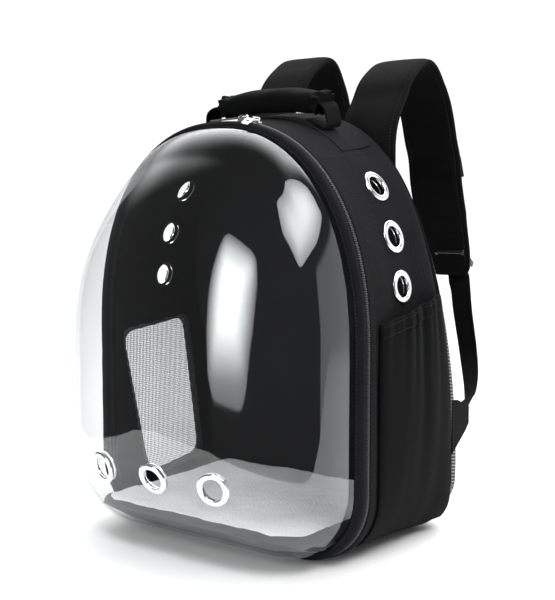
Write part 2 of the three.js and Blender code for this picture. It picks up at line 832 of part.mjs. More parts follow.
// Floor mat: lies on the floor of the body, steps over the binding and runs into the bubble.
// Each row gives its distance behind the rim, the lift of its underside and the share of its
// width that its rounded front leaves.
function floorMat() {
  const back = BASE_DEPTH - WALL;
  const inner = BULGE - BUBBLE_WALL;
  const inBubble = [
    { ahead: 1, lift: 4, width: 0.86 },
    { ahead: 0.93, lift: 4, width: 0.94 },
    { ahead: 0.72, lift: 3.5, width: 1 },
    { ahead: 0.4, lift: 3, width: 1 },
    { ahead: 0.2, lift: 3.8, width: 1 },
  ].map(({ ahead, lift, width }) => {
    const section = bubbleSection((ahead * MAT_FRONT) / inner, BUBBLE_WALL);
    return { behind: -ahead * MAT_FRONT, under: section.base + lift, section, width };
  });
  const binding = {
    half: RIM_HALF - FRAME_INNER_LIP,
    base: RIM_BASE + FRAME_INNER_LIP,
    corner: RIM_CORNER - FRAME_INNER_LIP,
  };
  const floor = { half: BACK_HALF - WALL, base: WALL, corner: CORNER - WALL };
  const inBody = [
    { behind: -4, lift: 0, section: binding, width: 1 },
    { behind: FRAME_DEPTH + 2, lift: 0, section: binding, width: 1 },
    { behind: BODY_FRONT + 2, lift: 0, section: floor, width: 1 },
    { behind: back - BACK_BOTTOM_RADIUS, lift: 0, section: floor, width: 1 },
    { behind: back - 12, lift: 9, section: floor, width: 1 },
    { behind: back - 4, lift: 17, section: floor, width: 0.97 },
  ].map((row) => ({ ...row, under: row.section.base + GAP + row.lift }));
  const across = Array.from({ length: MAT_COLUMNS + 1 }, (_, i) => (2 * i) / MAT_COLUMNS - 1);
  const grid = (halfOf, heightOf) => [...inBubble, ...inBody].map((row) => {
    const half = halfOf(row) * row.width;
    return across.map((share) => (
      new THREE.Vector3(half * share, RIM_Y + row.behind, heightOf(row, Math.abs(share)))
    ));
  });
  const topHalf = ({ section }) => (
    Math.min(MAT_HALF, halfAt(section, MAT_TOP - MAT_ROUND) - MAT_CLEARANCE)
  );
  const footHalf = ({ section }) => section.half - section.corner;
  return sheet(
    grid(topHalf, (row, share) => MAT_TOP - (share === 1 ? MAT_ROUND : 0)),
    grid(footHalf, (row) => row.under),
  );
}

// Yoke patch, a second layer over the rear of the arch
function yokePatch() {
  const across = Array.from(
    { length: YOKE_COLUMNS + 1 },
    (_, i) => YOKE_HALF * ((2 * i) / YOKE_COLUMNS - 1),
  );
  const shares = [YOKE_FRONT_SHARE, YOKE_BACK_SHARE];
  const grid = (out) => shares.map((share) => across.map((at) => {
    const { x, z, nx, nz } = archPoint(at, share);
    return new THREE.Vector3(x + nx * out, bodyY(share, z), z + nz * out);
  }));
  return sheet(grid(YOKE_SEAT + YOKE_THICKNESS), grid(YOKE_SEAT));
}

// Handle, in a frame with its origin on top of the yoke and its Y along the slope of the top
const topRun = TOP_DEPTH - BACK_EDGE_RADIUS - BODY_FRONT;
const handleShare = (HANDLE_Y - RIM_Y - BODY_FRONT) / topRun;
const handleSlope = Math.atan2(BACK_TOP - FRONT_TOP, topRun);
const yokeTop = (x) => {
  const { z, nz } = archPoint(x, handleShare);
  return z + (YOKE_SEAT + YOKE_THICKNESS) / nz;
};

const handleGrip = new THREE.CatmullRomCurve3([
  { x: -1, up: -0.3 },
  { x: -0.965, up: 0.32 },
  { x: -0.87, up: 0.64 },
  { x: -0.7, up: 0.75 },
  { x: -0.42, up: 0.89 },
  { x: 0, up: 1 },
  { x: 0.42, up: 0.93 },
  { x: 0.7, up: 0.77 },
  { x: 0.87, up: 0.64 },
  { x: 0.965, up: 0.32 },
  { x: 1, up: -0.3 },
].map(({ x, up }) => new THREE.Vector3(x * HANDLE_HALF_SPAN, 0, up * HANDLE_RISE)));

// The foot of the webbing lies on the yoke and folds up at the outer end
function handleFoot(side) {
  const lift = 2 * GAP + HANDLE_WEB_THICKNESS / 2;
  const outer = HANDLE_HALF_SPAN - 3;
  const inner = HANDLE_HALF_SPAN - HANDLE_FOOT;
  const onYoke = (x) => ({
    x: side * x,
    z: (yokeTop(x) - yokeTop(0)) * Math.cos(handleSlope) + lift / archPoint(x, handleShare).nz,
  });
  const end = onYoke(outer);
  return [
    onYoke(inner),
    onYoke((inner + outer) / 2),
    end,
    { x: side * HANDLE_HALF_SPAN, z: end.z + 2.4 },
    { x: side * (HANDLE_HALF_SPAN + 0.6), z: end.z + 6 },
  ];
}

function ribbonShape(path, thickness) {
  const points = path.map(({ x, z }) => new THREE.Vector2(x, z));
  const sides = [1, -1].map((sign) => points.map((point, i) => {
    const before = points[Math.max(i - 1, 0)];
    const after = points[Math.min(i + 1, points.length - 1)];
    const into = point.clone().sub(before).normalize();
    const out = after.clone().sub(point).normalize();
    const along = into.add(out).normalize();
    return new THREE.Vector2(
      point.x - (along.y * sign * thickness) / 2,
      point.y + (along.x * sign * thickness) / 2,
    );
  }));
  return new THREE.Shape([...sides[0], ...sides[1].reverse()]);
}

// Lays an extruded XY shape in the XZ plane, centred on Y
function standUp(geometry, width) {
  geometry.translate(0, 0, -width / 2);
  geometry.rotateX(Math.PI / 2);
  return geometry;
}

function handleWebbing() {
  const grip = handleGrip.getSpacedPoints(26).map(({ x, z }) => ({ x, z }));
  const path = [...handleFoot(-1), ...grip.slice(0, -1), ...handleFoot(1).reverse()];
  const shape = ribbonShape(path, HANDLE_WEB_THICKNESS);
  const options = { depth: HANDLE_WEB_WIDTH, bevelEnabled: false };
  return welded(standUp(new THREE.ExtrudeGeometry(shape, options), HANDLE_WEB_WIDTH));
}

// Padded sleeve round the webbing, drawn in at its ends
const WRAP_ROWS = [
  { along: -1, girth: 0.8 },
  { along: -0.93, girth: 0.9 },
  { along: -0.84, girth: 0.84 },
  { along: -0.6, girth: 0.96 },
  { along: -0.25, girth: 1 },
  { along: 0.1, girth: 1 },
  { along: 0.45, girth: 0.98 },
  { along: 0.8, girth: 0.86 },
  { along: 0.9, girth: 0.95 },
  { along: 1, girth: 0.8 },
];

function handleWrap() {
  const sides = 12;
  const tunnelHalf = HANDLE_WEB_WIDTH / 2 + 2 * GAP;
  const tunnelRise = HANDLE_WEB_THICKNESS / 2 + 2 * GAP;
  const grip = handleGrip.getSpacedPoints(240);
  const pointAt = (x) => grip.reduce((best, p) => (
    Math.abs(p.x - x) < Math.abs(best.x - x) ? p : best
  ));
  const frames = WRAP_ROWS.map(({ along, girth }) => {
    const point = pointAt(along * WRAP_HALF_LENGTH);
    const before = pointAt(along * WRAP_HALF_LENGTH - 4);
    const after = pointAt(along * WRAP_HALF_LENGTH + 4);
    const slope = Math.atan2(after.z - before.z, after.x - before.x);
    return { point, slope, girth };
  });
  const place = ({ point, slope }, across, up) => new THREE.Vector3(
    point.x - Math.sin(slope) * up,
    across,
    point.z + Math.cos(slope) * up,
  );
  const outer = frames.map((frame) => Array.from({ length: sides }, (_, i) => {
    const angle = (i / sides) * 2 * Math.PI;
    const across = (WRAP_WIDTH / 2) * frame.girth * signedPower(Math.cos(angle), 0.7);
    const up = (WRAP_HEIGHT / 2) * frame.girth * signedPower(Math.sin(angle), 0.8);
    return place(frame, across, up);
  }));
  const inner = frames.map((frame) => Array.from({ length: sides }, (_, i) => {
    const angle = (i / sides) * 2 * Math.PI;
    const across = THREE.MathUtils.clamp(2 * Math.cos(angle), -1, 1) * tunnelHalf;
    const up = THREE.MathUtils.clamp(3 * Math.sin(angle), -1, 1) * tunnelRise;
    return place(frame, across, up);
  })).reverse();
  return hoop([...outer, ...inner]);
}

const signedPower = (value, power) => Math.sign(value) * Math.abs(value) ** power;

// Straps, in the plane that runs back from the bag

const strapRootY = padBack(STRAP_ROOT_Z) + GAP + STRAP_THICKNESS / 2;

function strapCurve({ lean, rise }) {
  return new THREE.CatmullRomCurve3(STRAP_ROUTE.map(({ back, up }) => {
    const z = THREE.MathUtils.lerp(STRAP_END_Z, STRAP_PEAK_Z, up);
    const above = THREE.MathUtils.clamp((z - STRAP_ROOT_Z) / (STRAP_PEAK_Z - STRAP_ROOT_Z), 0, 1);
    const y = strapRootY + STRAP_REACH * back + lean * Math.sqrt(above);
    return new THREE.Vector3(0, y, z + rise * above);
  }));
}

const strapForms = new Map([[1, RIGHT_STRAP], [-1, LEFT_STRAP]].map(([side, form]) => (
  [side, { shift: form.shift, curve: strapCurve(form) }]
)));

// Place on a strap by share of its length: the point, and the way out of its inner face
function strapFrame(side, along) {
  const { shift, curve } = strapForms.get(side);
  const point = curve.getPointAt(along);
  const tangent = curve.getTangentAt(along);
  const end = THREE.MathUtils.smoothstep(along, 0.8, 1);
  return {
    x: STRAP_X - shift * (1 - end) + STRAP_END_SHIFT * end,
    point,
    out: new THREE.Vector3(0, tangent.z, -tangent.y),
  };
}

function onStrap(side, { x, point, out }, across, height) {
  return new THREE.Vector3(
    side * (x + across),
    point.y + out.y * height,
    point.z + out.z * height,
  );
}

function strap(side) {
  const edge = 4;
  const rings = Array.from({ length: STRAP_STEPS + 1 }, (_, i) => {
    const along = i / STRAP_STEPS;
    const frame = strapFrame(side, along);
    const half = (STRAP_WIDTH / 2) * lookUp(STRAP_TAPER, 'along', 'share', along);
    const thick = STRAP_THICKNESS / 2;
    const section = [
      [half, 0],
      [half - 0.8, thick * 0.6],
      [half - edge, thick],
      [edge - half, thick],
      [0.8 - half, thick * 0.6],
      [-half, 0],
      [0.8 - half, -thick * 0.6],
      [edge - half, -thick],
      [half - edge, -thick],
      [half - 0.8, -thick * 0.6],
    ];
    return section.map(([across, height]) => onStrap(side, frame, across, height));
  });
  return loft(rings);
}

// The band's free edge points down the strap, where it is thickest
function strapBand(side) {
  const half = STRAP_WIDTH / 2 - 2;
  const base = -(STRAP_THICKNESS / 2 + GAP);
  const rows = [
    { along: BAND_STEP / STRAP_STEPS, height: BAND_THIN },
    { along: (BAND_STEP + 1) / STRAP_STEPS, height: BAND_THICK },
  ];
  const grid = (share) => rows.map(({ along, height }) => [-half, 0, half].map((across) => (
    onStrap(side, strapFrame(side, along), across, base - share * height)
  )));
  return sheet(grid(1), grid(0));
}

// Adjuster: a plate with two slots and a bar between them, tilted off the strap's outer face
function lockShape() {
  const half = LOCK_WIDTH / 2;
  const shape = new THREE.Shape([
    new THREE.Vector2(-half, 3),
    new THREE.Vector2(-half + 3, 0),
    new THREE.Vector2(half - 3, 0),
    new THREE.Vector2(half, 3),
    new THREE.Vector2(half, LOCK_HEIGHT - 3),
    new THREE.Vector2(half - 3, LOCK_HEIGHT),
    new THREE.Vector2(3 - half, LOCK_HEIGHT),
    new THREE.Vector2(-half, LOCK_HEIGHT - 3),
  ]);
  const slotHalf = WEB_WIDTH / 2 + 2 * GAP;
  const slotHeight = (LOCK_HEIGHT - 3 * LOCK_BAR) / 2;
  for (const low of [LOCK_BAR, 2 * LOCK_BAR + slotHeight]) {
    shape.holes.push(new THREE.Path([
      new THREE.Vector2(-slotHalf, low),
      new THREE.Vector2(slotHalf, low),
      new THREE.Vector2(slotHalf, low + slotHeight),
      new THREE.Vector2(-slotHalf, low + slotHeight),
    ]));
  }
  return shape;
}

// Point in a lock's own frame: across, along the plate away from the strap, and off its top face
function onLock(side, across, along, off) {
  const { x, point, out } = strapFrame(side, LOCK_ALONG);
  const seat = point.clone().addScaledVector(out, -(STRAP_THICKNESS / 2 + 2 * GAP));
  const off0 = LOCK_THICKNESS + off;
  return new THREE.Vector3(
    x + across,
    seat.y + along * Math.sin(LOCK_TILT) + off0 * Math.cos(LOCK_TILT),
    seat.z - along * Math.cos(LOCK_TILT) + off0 * Math.sin(LOCK_TILT),
  );
}

function ladderLock(side) {
  const options = { depth: LOCK_THICKNESS, bevelEnabled: false };
  const geometry = welded(new THREE.ExtrudeGeometry(lockShape(), options));
  geometry.translate(0, -LOCK_HEIGHT, 0);
  geometry.rotateX(Math.PI / 2 + LOCK_TILT);
  const place = onLock(side, 0, 0, 0);
  geometry.translate(side * place.x, place.y, place.z);
  return geometry;
}

// Webbing: its tail goes up through the lock's outer slot, over the bar, down through the inner
// slot and on to the tab. Each row of the route gives shares of the way from the lock to the tab
// and how far the width has turned from across the bag to along it.
const tabInner = BACK_HALF - PAD_INSET + GAP;
const tabTipY = padBack(TAB_TIP_Z) + TAB_REACH;
const WEB_ROUTE = [
  { aside: 0.04, forward: -0.01, down: 0.08, turn: 0 },
  { aside: 0.136, forward: 0.06, down: 0.15, turn: 0.06 },
  { aside: 0.273, forward: 0.17, down: 0.333, turn: 0.12 },
  { aside: 0.455, forward: 0.26, down: 0.634, turn: 0.23 },
  { aside: 0.667, forward: 0.46, down: 0.83, turn: 0.4 },
  { aside: 0.803, forward: 0.66, down: 0.954, turn: 0.56 },
];

function strapWebbing(side) {
  const half = WEB_THICKNESS / 2;
  const bar = (LOCK_HEIGHT - LOCK_BAR) / 2;
  const outerRun = bar + LOCK_BAR + GAP + half + 1.2;
  const innerRun = bar - GAP - half - 1.2;
  const over = GAP + half + 0.6;
  const inLock = [
    [outerRun, -LOCK_THICKNESS - 5],
    [outerRun, -LOCK_THICKNESS / 2],
    [outerRun - 0.3, over - 0.9],
    [bar + LOCK_BAR - 0.4, over + 0.3],
    [bar + 0.4, over + 0.3],
    [innerRun + 0.3, over - 0.9],
    [innerRun, -LOCK_THICKNESS / 2],
    [innerRun, -LOCK_THICKNESS - 3],
  ].map(([along, off]) => ({ point: onLock(side, 0, along, off), turn: 0 }));
  const start = inLock[inLock.length - 1].point;
  const end = new THREE.Vector3(tabInner - 4 * GAP - half, tabTipY, TAB_TIP_Z);
  const rows = [
    ...inLock,
    ...WEB_ROUTE.map(({ aside, forward, down, turn }) => ({
      point: new THREE.Vector3(
        THREE.MathUtils.lerp(start.x, end.x, aside),
        THREE.MathUtils.lerp(start.y, end.y, forward),
        THREE.MathUtils.lerp(start.z, end.z, down),
      ),
      turn,
    })),
    { point: end.clone().add(new THREE.Vector3(-7, 12, 1)), turn: 0.9 },
    { point: end.clone().add(new THREE.Vector3(-3, 0, 0)), turn: 1 },
    { point: end.clone().add(new THREE.Vector3(-0.6, -16, 0)), turn: 1 },
  ];
  const rings = rows.map(({ point, turn }, i) => {
    const before = rows[Math.max(i - 1, 0)].point;
    const after = rows[Math.min(i + 1, rows.length - 1)].point;
    const into = point.clone().sub(before).normalize();
    const out = after.clone().sub(point).normalize();
    const tangent = into.add(out).normalize();
    const angle = turn * (Math.PI / 2);
    const level = new THREE.Vector3(
      Math.cos(angle),
      -0.5 * Math.sin(angle),
      0.85 * Math.sin(angle),
    );
    const width = level.addScaledVector(tangent, -level.dot(tangent)).normalize();
    const normal = new THREE.Vector3().crossVectors(tangent, width).normalize();
    return [[1, 1], [-1, 1], [-1, -1], [1, -1]].map(([across, off]) => {
      const corner = point.clone()
        .addScaledVector(width, (across * WEB_WIDTH) / 2)
        .addScaledVector(normal, off * half);
      corner.x *= side;
      return corner;
    });
  });
  return loft(rings);
}

// Tab: a triangle of cloth sewn along the edge of the back pad
function wingTab(side) {
  const rootY = padFront(TAB_TIP_Z) + 3;
  const shape = new THREE.Shape([
    new THREE.Vector2(padFront(TAB_LOW) + 3, TAB_LOW),
    new THREE.Vector2(tabTipY - 6, TAB_TIP_Z - TAB_TIP_ROUND - 6),
    new THREE.Vector2(tabTipY, TAB_TIP_Z - TAB_TIP_ROUND),
    new THREE.Vector2(tabTipY, TAB_TIP_Z + TAB_TIP_ROUND),
    new THREE.Vector2(padBack(TAB_HIGH) + 2, TAB_HIGH - 2),
    new THREE.Vector2(rootY, TAB_HIGH),
  ]);
  const options = { depth: TAB_THICKNESS, bevelEnabled: false };
  const geometry = welded(new THREE.ExtrudeGeometry(shape, options));
  geometry.applyMatrix4(new THREE.Matrix4().makeBasis(
    new THREE.Vector3(0, 1, 0),
    new THREE.Vector3(0, 0, 1),
    new THREE.Vector3(1, 0, 0),
  ));
  geometry.translate(side > 0 ? tabInner : -tabInner - TAB_THICKNESS, 0, 0);
  return geometry;
}

// Zip sliders, each in a frame that stands on the coil with its X along the pull

function sliderBody(along, across) {
  const length = along / 2;
  const half = across / 2;
  const plate = new THREE.ExtrudeGeometry(new THREE.Shape([
    new THREE.Vector2(-length, -half * 0.6),
    new THREE.Vector2(-length * 0.5, -half),
    new THREE.Vector2(length * 0.5, -half),
    new THREE.Vector2(length, -half * 0.6),
    new THREE.Vector2(length, half * 0.6),
    new THREE.Vector2(length * 0.5, half),
    new THREE.Vector2(-length * 0.5, half),
    new THREE.Vector2(-length, half * 0.6),
  ]), { depth: SLIDER_PLATE, bevelEnabled: false });
  const reach = BRIDGE_HALF_SPAN + BRIDGE_POST;
  const low = SLIDER_PLATE;
  const high = low + BRIDGE_WINDOW;
  const bridge = new THREE.ExtrudeGeometry(new THREE.Shape([
    new THREE.Vector2(-reach, low - 1),
    new THREE.Vector2(-BRIDGE_HALF_SPAN, low - 1),
    new THREE.Vector2(-BRIDGE_HALF_SPAN, high),
    new THREE.Vector2(BRIDGE_HALF_SPAN, high),
    new THREE.Vector2(BRIDGE_HALF_SPAN, low - 1),
    new THREE.Vector2(reach, low - 1),
    new THREE.Vector2(reach, high),
    new THREE.Vector2(reach - BRIDGE_BAR, high + BRIDGE_BAR),
    new THREE.Vector2(BRIDGE_BAR - reach, high + BRIDGE_BAR),
    new THREE.Vector2(-reach, high),
  ]), { depth: BRIDGE_WIDTH, bevelEnabled: false });
  return join(plate, standUp(bridge, BRIDGE_WIDTH));
}

// Pull plate seen from the side: the eye's bar is the hinge, at the origin
function pullPlate(path, width, tip) {
  const shape = ribbonShape(path, PULL_THICKNESS);
  const plate = standUp(new THREE.ExtrudeGeometry(shape, { depth: width, bevelEnabled: false }), width);
  const start = -(PULL_THICKNESS / 2);
  const eye = new THREE.BoxGeometry(EYE_LENGTH, EYE_WIDTH, PULL_THICKNESS * 3);
  eye.translate(start - EYE_LENGTH / 2, 0, 0);
  return cut(plate, [eye, tip]);
}

function longPull() {
  const slot = new THREE.BoxGeometry(6, PULL_WIDTH * 0.35, PULL_THICKNESS * 3);
  slot.translate(5.5 - PULL_A_LENGTH, 0, 0);
  const end = { x: -PULL_A_LENGTH, z: 0 };
  return pullPlate([{ x: PULL_THICKNESS / 2, z: 0 }, { x: -12, z: 0 }, end], PULL_WIDTH, slot);
}

function shortPull() {
  const bend = -PULL_B_LENGTH;
  const fall = THREE.MathUtils.degToRad(36);
  const tip = {
    x: bend - PULL_B_DROP * Math.cos(fall),
    z: -PULL_B_DROP * Math.sin(fall),
  };
  const slot = new THREE.BoxGeometry(PULL_B_DROP * 0.4, PULL_B_WIDTH * 0.5, PULL_THICKNESS * 5);
  slot.rotateY(-fall);
  slot.translate((bend + tip.x) / 2, 0, tip.z / 2);
  return pullPlate([{ x: PULL_THICKNESS / 2, z: 0 }, { x: bend, z: 0 }, tip], PULL_B_WIDTH, slot);
}

// A slider and its pull on the coil, turned about the coil's normal, with the pull settled down
function sliderOn(zipGeometry, { x, turn, settle }, slider, pull) {
  const seat = seatOn(
    zipGeometry,
    new THREE.Vector3(x, RIM_Y + coilMiddle, RIM_TOP * 2),
    new THREE.Vector3(0, 0, -1),
    COIL_WIDTH / 5,
  );
  const slope = Math.atan2(seat.normal.x, seat.normal.z);
  const group = new THREE.Group();
  group.position.copy(seat.point).addScaledVector(seat.normal, seat.rise + GAP);
  group.rotation.set(0, slope, 0);
  const turned = new THREE.Group();
  turned.rotation.z = turn;
  pull.position.z = PIVOT_RISE;
  pull.rotation.y = -settle;
  turned.add(slider, pull);
  group.add(turned);
  return group;
}

// Assembly

const shell = bodyShell();
const dome = bubbleShell();
const sides = [{ side: 1, word: 'right' }, { side: -1, word: 'left' }];

const sideSeats = sides.flatMap(({ side, word }) => SIDE_EYELETS.map(({ y, z }, i) => ({
  name: `side_eyelet_${word}_${i + 1}`,
  seat: seatOn(
    shell,
    new THREE.Vector3(side * 2 * HALF_WIDTH, y, z),
    new THREE.Vector3(-side, 0, 0),
    WASHER_RADIUS,
  ),
})));

const frontSeats = [-1, 0, 1].map((step, i) => ({
  name: `front_eyelet_${i + 1}`,
  seat: seatOn(
    dome,
    new THREE.Vector3(step * FRONT_EYELET_SPACING, RIM_Y - 2 * BULGE, FRONT_EYELET_Z),
    new THREE.Vector3(0, 1, 0),
    WASHER_RADIUS,
  ),
}));

const holes = (seats) => seats.map(({ seat }) => eyeletHole(seat));
const zip = zipper();

const handle = new THREE.Group();
handle.position.set(0, HANDLE_Y, yokeTop(0));
handle.rotation.x = handleSlope;
handle.add(
  named('handle_webbing', handleWebbing(), WEBBING),
  named('handle_wrap', handleWrap(), DARK_CLOTH),
);

const backpack = new THREE.Group();
backpack.add(
  named('bag_body', cut(shell, [...holes(sideSeats), windowPrism(0)]), CLOTH),
  named('back_pad', backPad(), MESH_CLOTH),
  named('window_mesh', windowMesh(), MESH_CLOTH),
  named('yoke_patch', yokePatch(), CLOTH),
  named('side_pocket', sidePocket(), DARK_CLOTH),
  named('pocket_hem', pocketHem(), DARK_CLOTH),
  named('door_frame', doorFrame(), CLOTH),
  named('bubble', cut(dome, holes(frontSeats)), CLEAR),
  named('zipper', zip, DARK_CLOTH),
  named('hinge_strip', hingeStrip(), DARK_CLOTH),
  named('floor_mat', floorMat(), PLUSH),
  handle,
  ...[...sideSeats, ...frontSeats].map(({ name, seat }) => placeEyelet(name, seat)),
  sliderOn(
    zip,
    { x: SLIDER_A_X, turn: 0, settle: PULL_A_SETTLE },
    named('slider_a', sliderBody(SLIDER_LENGTH, SLIDER_WIDTH), METAL),
    named('pull_a', longPull(), METAL),
  ),
  sliderOn(
    zip,
    { x: SLIDER_B_X, turn: Math.PI / 2, settle: 0 },
    named('slider_b', sliderBody(SLIDER_WIDTH + 2, SLIDER_LENGTH), METAL),
    named('pull_b', shortPull(), METAL),
  ),
);

for (const { side, word } of sides) {
  backpack.add(
    named(`strap_${word}`, strap(side), CLOTH),
    named(`strap_band_${word}`, strapBand(side), WEBBING),
    named(`ladder_lock_${word}`, ladderLock(side), PLASTIC),
    named(`strap_webbing_${word}`, strapWebbing(side), WEBBING),
    named(`wing_tab_${word}`, wingTab(side), CLOTH),
  );
}

export default backpack;
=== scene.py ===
"""Looks of the bubble pet carrier backpack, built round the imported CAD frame.

Lengths in the tables are millimetres in the row frame and become metres when a mesh is made.
"""
import math

import bmesh
import bpy
import numpy as np
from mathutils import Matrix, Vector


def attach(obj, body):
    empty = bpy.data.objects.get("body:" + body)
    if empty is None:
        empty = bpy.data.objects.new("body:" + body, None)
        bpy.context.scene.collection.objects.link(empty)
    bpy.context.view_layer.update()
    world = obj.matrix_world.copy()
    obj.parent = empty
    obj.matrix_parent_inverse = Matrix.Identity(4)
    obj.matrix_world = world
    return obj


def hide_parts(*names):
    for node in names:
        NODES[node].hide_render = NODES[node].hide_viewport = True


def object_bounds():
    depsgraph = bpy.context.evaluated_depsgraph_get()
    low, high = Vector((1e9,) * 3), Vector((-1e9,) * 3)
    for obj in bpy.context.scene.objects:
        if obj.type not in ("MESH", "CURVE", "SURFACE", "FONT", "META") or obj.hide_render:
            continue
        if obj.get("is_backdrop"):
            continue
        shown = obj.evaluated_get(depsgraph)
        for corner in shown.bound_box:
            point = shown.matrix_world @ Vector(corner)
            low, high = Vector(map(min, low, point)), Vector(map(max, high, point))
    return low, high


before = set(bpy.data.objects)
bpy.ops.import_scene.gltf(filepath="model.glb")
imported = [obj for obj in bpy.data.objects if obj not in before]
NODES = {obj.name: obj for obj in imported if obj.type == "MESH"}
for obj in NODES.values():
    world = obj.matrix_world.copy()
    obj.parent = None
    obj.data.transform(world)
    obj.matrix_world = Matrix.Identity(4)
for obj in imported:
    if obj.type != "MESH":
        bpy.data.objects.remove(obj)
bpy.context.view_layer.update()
BODY = "bag"
MM = 0.001

# Camera at the photograph's angle, which comes first
AZIMUTH, PITCH = math.radians(37), math.radians(5.2)
scene = bpy.context.scene
camera_data = bpy.data.cameras.new("camera")
camera_data.sensor_width = 36
camera_data.lens = 64.82
camera = bpy.data.objects.new("camera", camera_data)
scene.collection.objects.link(camera)
camera.location = (0.6724, -0.8876, 0.3339)
camera.rotation_euler = (math.pi / 2 - PITCH, 0, AZIMUTH)
camera_data.clip_start = 0.02
camera_data.clip_end = 60
scene.camera = camera
scene.view_settings.view_transform = "Standard"

# Sizes in millimetres: the CAD source's, with a few eased by some millimetres towards the photograph
GAP = 0.3
HALF_WIDTH, WAIST_HALF, BACK_HALF, TAPER = 162, 158, 161.5, 0.4
SPRING, POWER = 196, 2.28
CORNER, BACK_CORNER = 64, 40
FRONT_TOP, BACK_TOP = 409, 426
BASE_DEPTH, TOP_DEPTH, WALL = 174, 136, 4
BOTTOM_RADIUS, EDGE_RADIUS = 14, 8
RIM_Y, RIM_HALF, RIM_BASE, RIM_TOP, RIM_CORNER = -89, 157, 8, 403, 60
FRAME_DEPTH, INNER_LIP = 7, 4
ZIP_DEPTH, ZIP_RISE = 7.7, 5
BODY_FRONT = FRAME_DEPTH + GAP + ZIP_DEPTH + GAP
BACK_SHAPE = ((0, 0.17, 0.33, 0.42, 0.54, 0.67, 0.8, 1), (1, 1, 0.9, 0.72, 0.38, 0.08, 0, 0))
PAD_SHAPE = ((0, 0.17, 0.33, 0.42, 0.54, 0.67, 1), (0.7, 1, 0.66, 0.42, 0.16, 0, 0))
PAD_THIN, PAD_LUMBAR, PAD_SEAT = 5, 21, 0.7
BULGE, BUBBLE_WALL, BUBBLE_LOW, NOSE_Z = 107.5, 2.2, 3, 154.6


def smooth_table(table, height):
    """A table's value at a share of the height, with its corners rounded."""
    offsets = (-0.04, -0.02, 0, 0.02, 0.04)
    return np.mean([np.interp(height + o, *table) for o in offsets], axis=0)


def ripple(points, wavelength, seed, count=7):
    """Smooth noise between about -1 and 1 at points in millimetres."""
    source = np.random.default_rng(seed)
    total = 0
    for _ in range(count):
        direction = source.normal(size=3)
        direction /= np.linalg.norm(direction)
        k = 2 * np.pi / (wavelength * source.uniform(0.7, 1.6))
        total = total + np.sin(points @ direction * k + source.uniform(0, 6.28))
    return total / math.sqrt(count)


# Materials


class Tree:
    """The nodes of a material or world, with short ways to add and join them."""

    def __init__(self, owner):
        owner.use_nodes = True
        self.nodes, self.links = owner.node_tree.nodes, owner.node_tree.links

    def fill(self, node, *ordered, **named):
        """Sets a node's inputs, by order or by name, to values or to other nodes' outputs."""
        for key, value in [*enumerate(ordered), *named.items()]:
            socket = node.inputs[key if isinstance(key, int) else key.replace("_", " ")]
            if isinstance(value, bpy.types.NodeSocket):
                self.links.new(value, socket)
            else:
                socket.default_value = value

    def add(self, kind, *ordered, options=(), **named):
        node = self.nodes.new(f"ShaderNode{kind}")
        for key, value in dict(options).items():
            setattr(node, key, value)
        self.fill(node, *ordered, **named)
        return node

    def combine(self, operation, *values):
        return self.add("Math", *values, options={"operation": operation}).outputs[0]

    def dot(self, first, second):
        return self.add("VectorMath", first, second, options={"operation": "DOT_PRODUCT"}).outputs["Value"]

    def place(self):
        return self.add("TexCoord").outputs["Object"]

    def ramp(self, value, *ends):
        """Colour between two ends, each a position and a colour."""
        node = self.add("ValToRGB", value)
        for element, (position, color) in zip(node.color_ramp.elements, ends):
            element.position = position
            element.color = (*color, 1)
        return node.outputs["Color"]

    def bump(self, height, strength, distance):
        return self.add("Bump", Height=height, Strength=strength, Distance=distance).outputs["Normal"]


def new_material(name):
    material = bpy.data.materials.new(name)
    tree = Tree(material)
    return material, tree, tree.nodes["Principled BSDF"]


def sine_lattice(tree, pitch, directions):
    """Sum of sine waves in object space, for woven and ribbed surfaces. The pitch is in millimetres."""
    place = tree.place()
    total = None
    for direction in directions:
        wave_vector = [d * 2 * math.pi / (pitch * MM) for d in direction]
        wave = tree.combine("SINE", tree.dot(place, wave_vector))
        total = wave if total is None else tree.combine("ADD", total, wave)
    return total


WOVEN = ((1, 0, 0.2), (0, 1, 0.1), (0.1, 0.1, 1))


def cloth(name, color, pitch=1.1, depth=0.00012, rough=0.88, directions=WOVEN):
    """Woven cloth: a lattice of threads with painted shade in its hollows and painted light on its crests,
    blotches of slightly lighter colour and a little lint.
    """
    material, tree, shader = new_material(name)
    lattice = sine_lattice(tree, pitch, directions)
    place = tree.place()
    blotch = tree.add("TexNoise", place, Scale=14.0, Detail=5.0, Roughness=0.6).outputs["Fac"]
    lint = tree.add("TexNoise", place, Scale=900.0, Detail=2.0).outputs["Fac"]
    tint = tree.ramp(blotch, (0.3, color), (0.75, [c * 1.3 + 0.0008 for c in color]))
    # Painted shade and light: the colour follows the weave's relief, darker in the hollows and lighter on the
    # crests
    shade = tree.add("MapRange", lattice, From_Min=-1.5, From_Max=1.5, To_Min=0.55, To_Max=1.25)
    weave_shaded_tint = tree.add("Mix", options={"data_type": "RGBA", "blend_type": "MULTIPLY"}, Factor=0.35, A=tint,
                      B=shade.outputs["Result"])
    tree.fill(shader, Base_Color=weave_shaded_tint.outputs["Result"], Roughness=rough, Sheen_Weight=0.012,
              Sheen_Roughness=0.45, Specular_IOR_Level=0.09,
              Normal=tree.bump(tree.combine("MULTIPLY_ADD", lint, 0.6, lattice), 0.55, depth))
    return material


def solid_finish(name, color, rough, metallic=0.0, grain=300.0):
    """Metal or moulded plastic: fine grain in the gloss and a faint bump."""
    spread, depth = 0.06, 0.00006
    material, tree, shader = new_material(name)
    noise = tree.add("TexNoise", tree.place(), Scale=grain, Detail=4.0).outputs["Fac"]
    gloss = tree.add("MapRange", noise, To_Min=max(0.02, rough - spread), To_Max=rough + spread)
    tree.fill(shader, Base_Color=(*color, 1), Metallic=metallic, Roughness=gloss.outputs["Result"],
              Normal=tree.bump(noise, 0.3, depth))
    return material


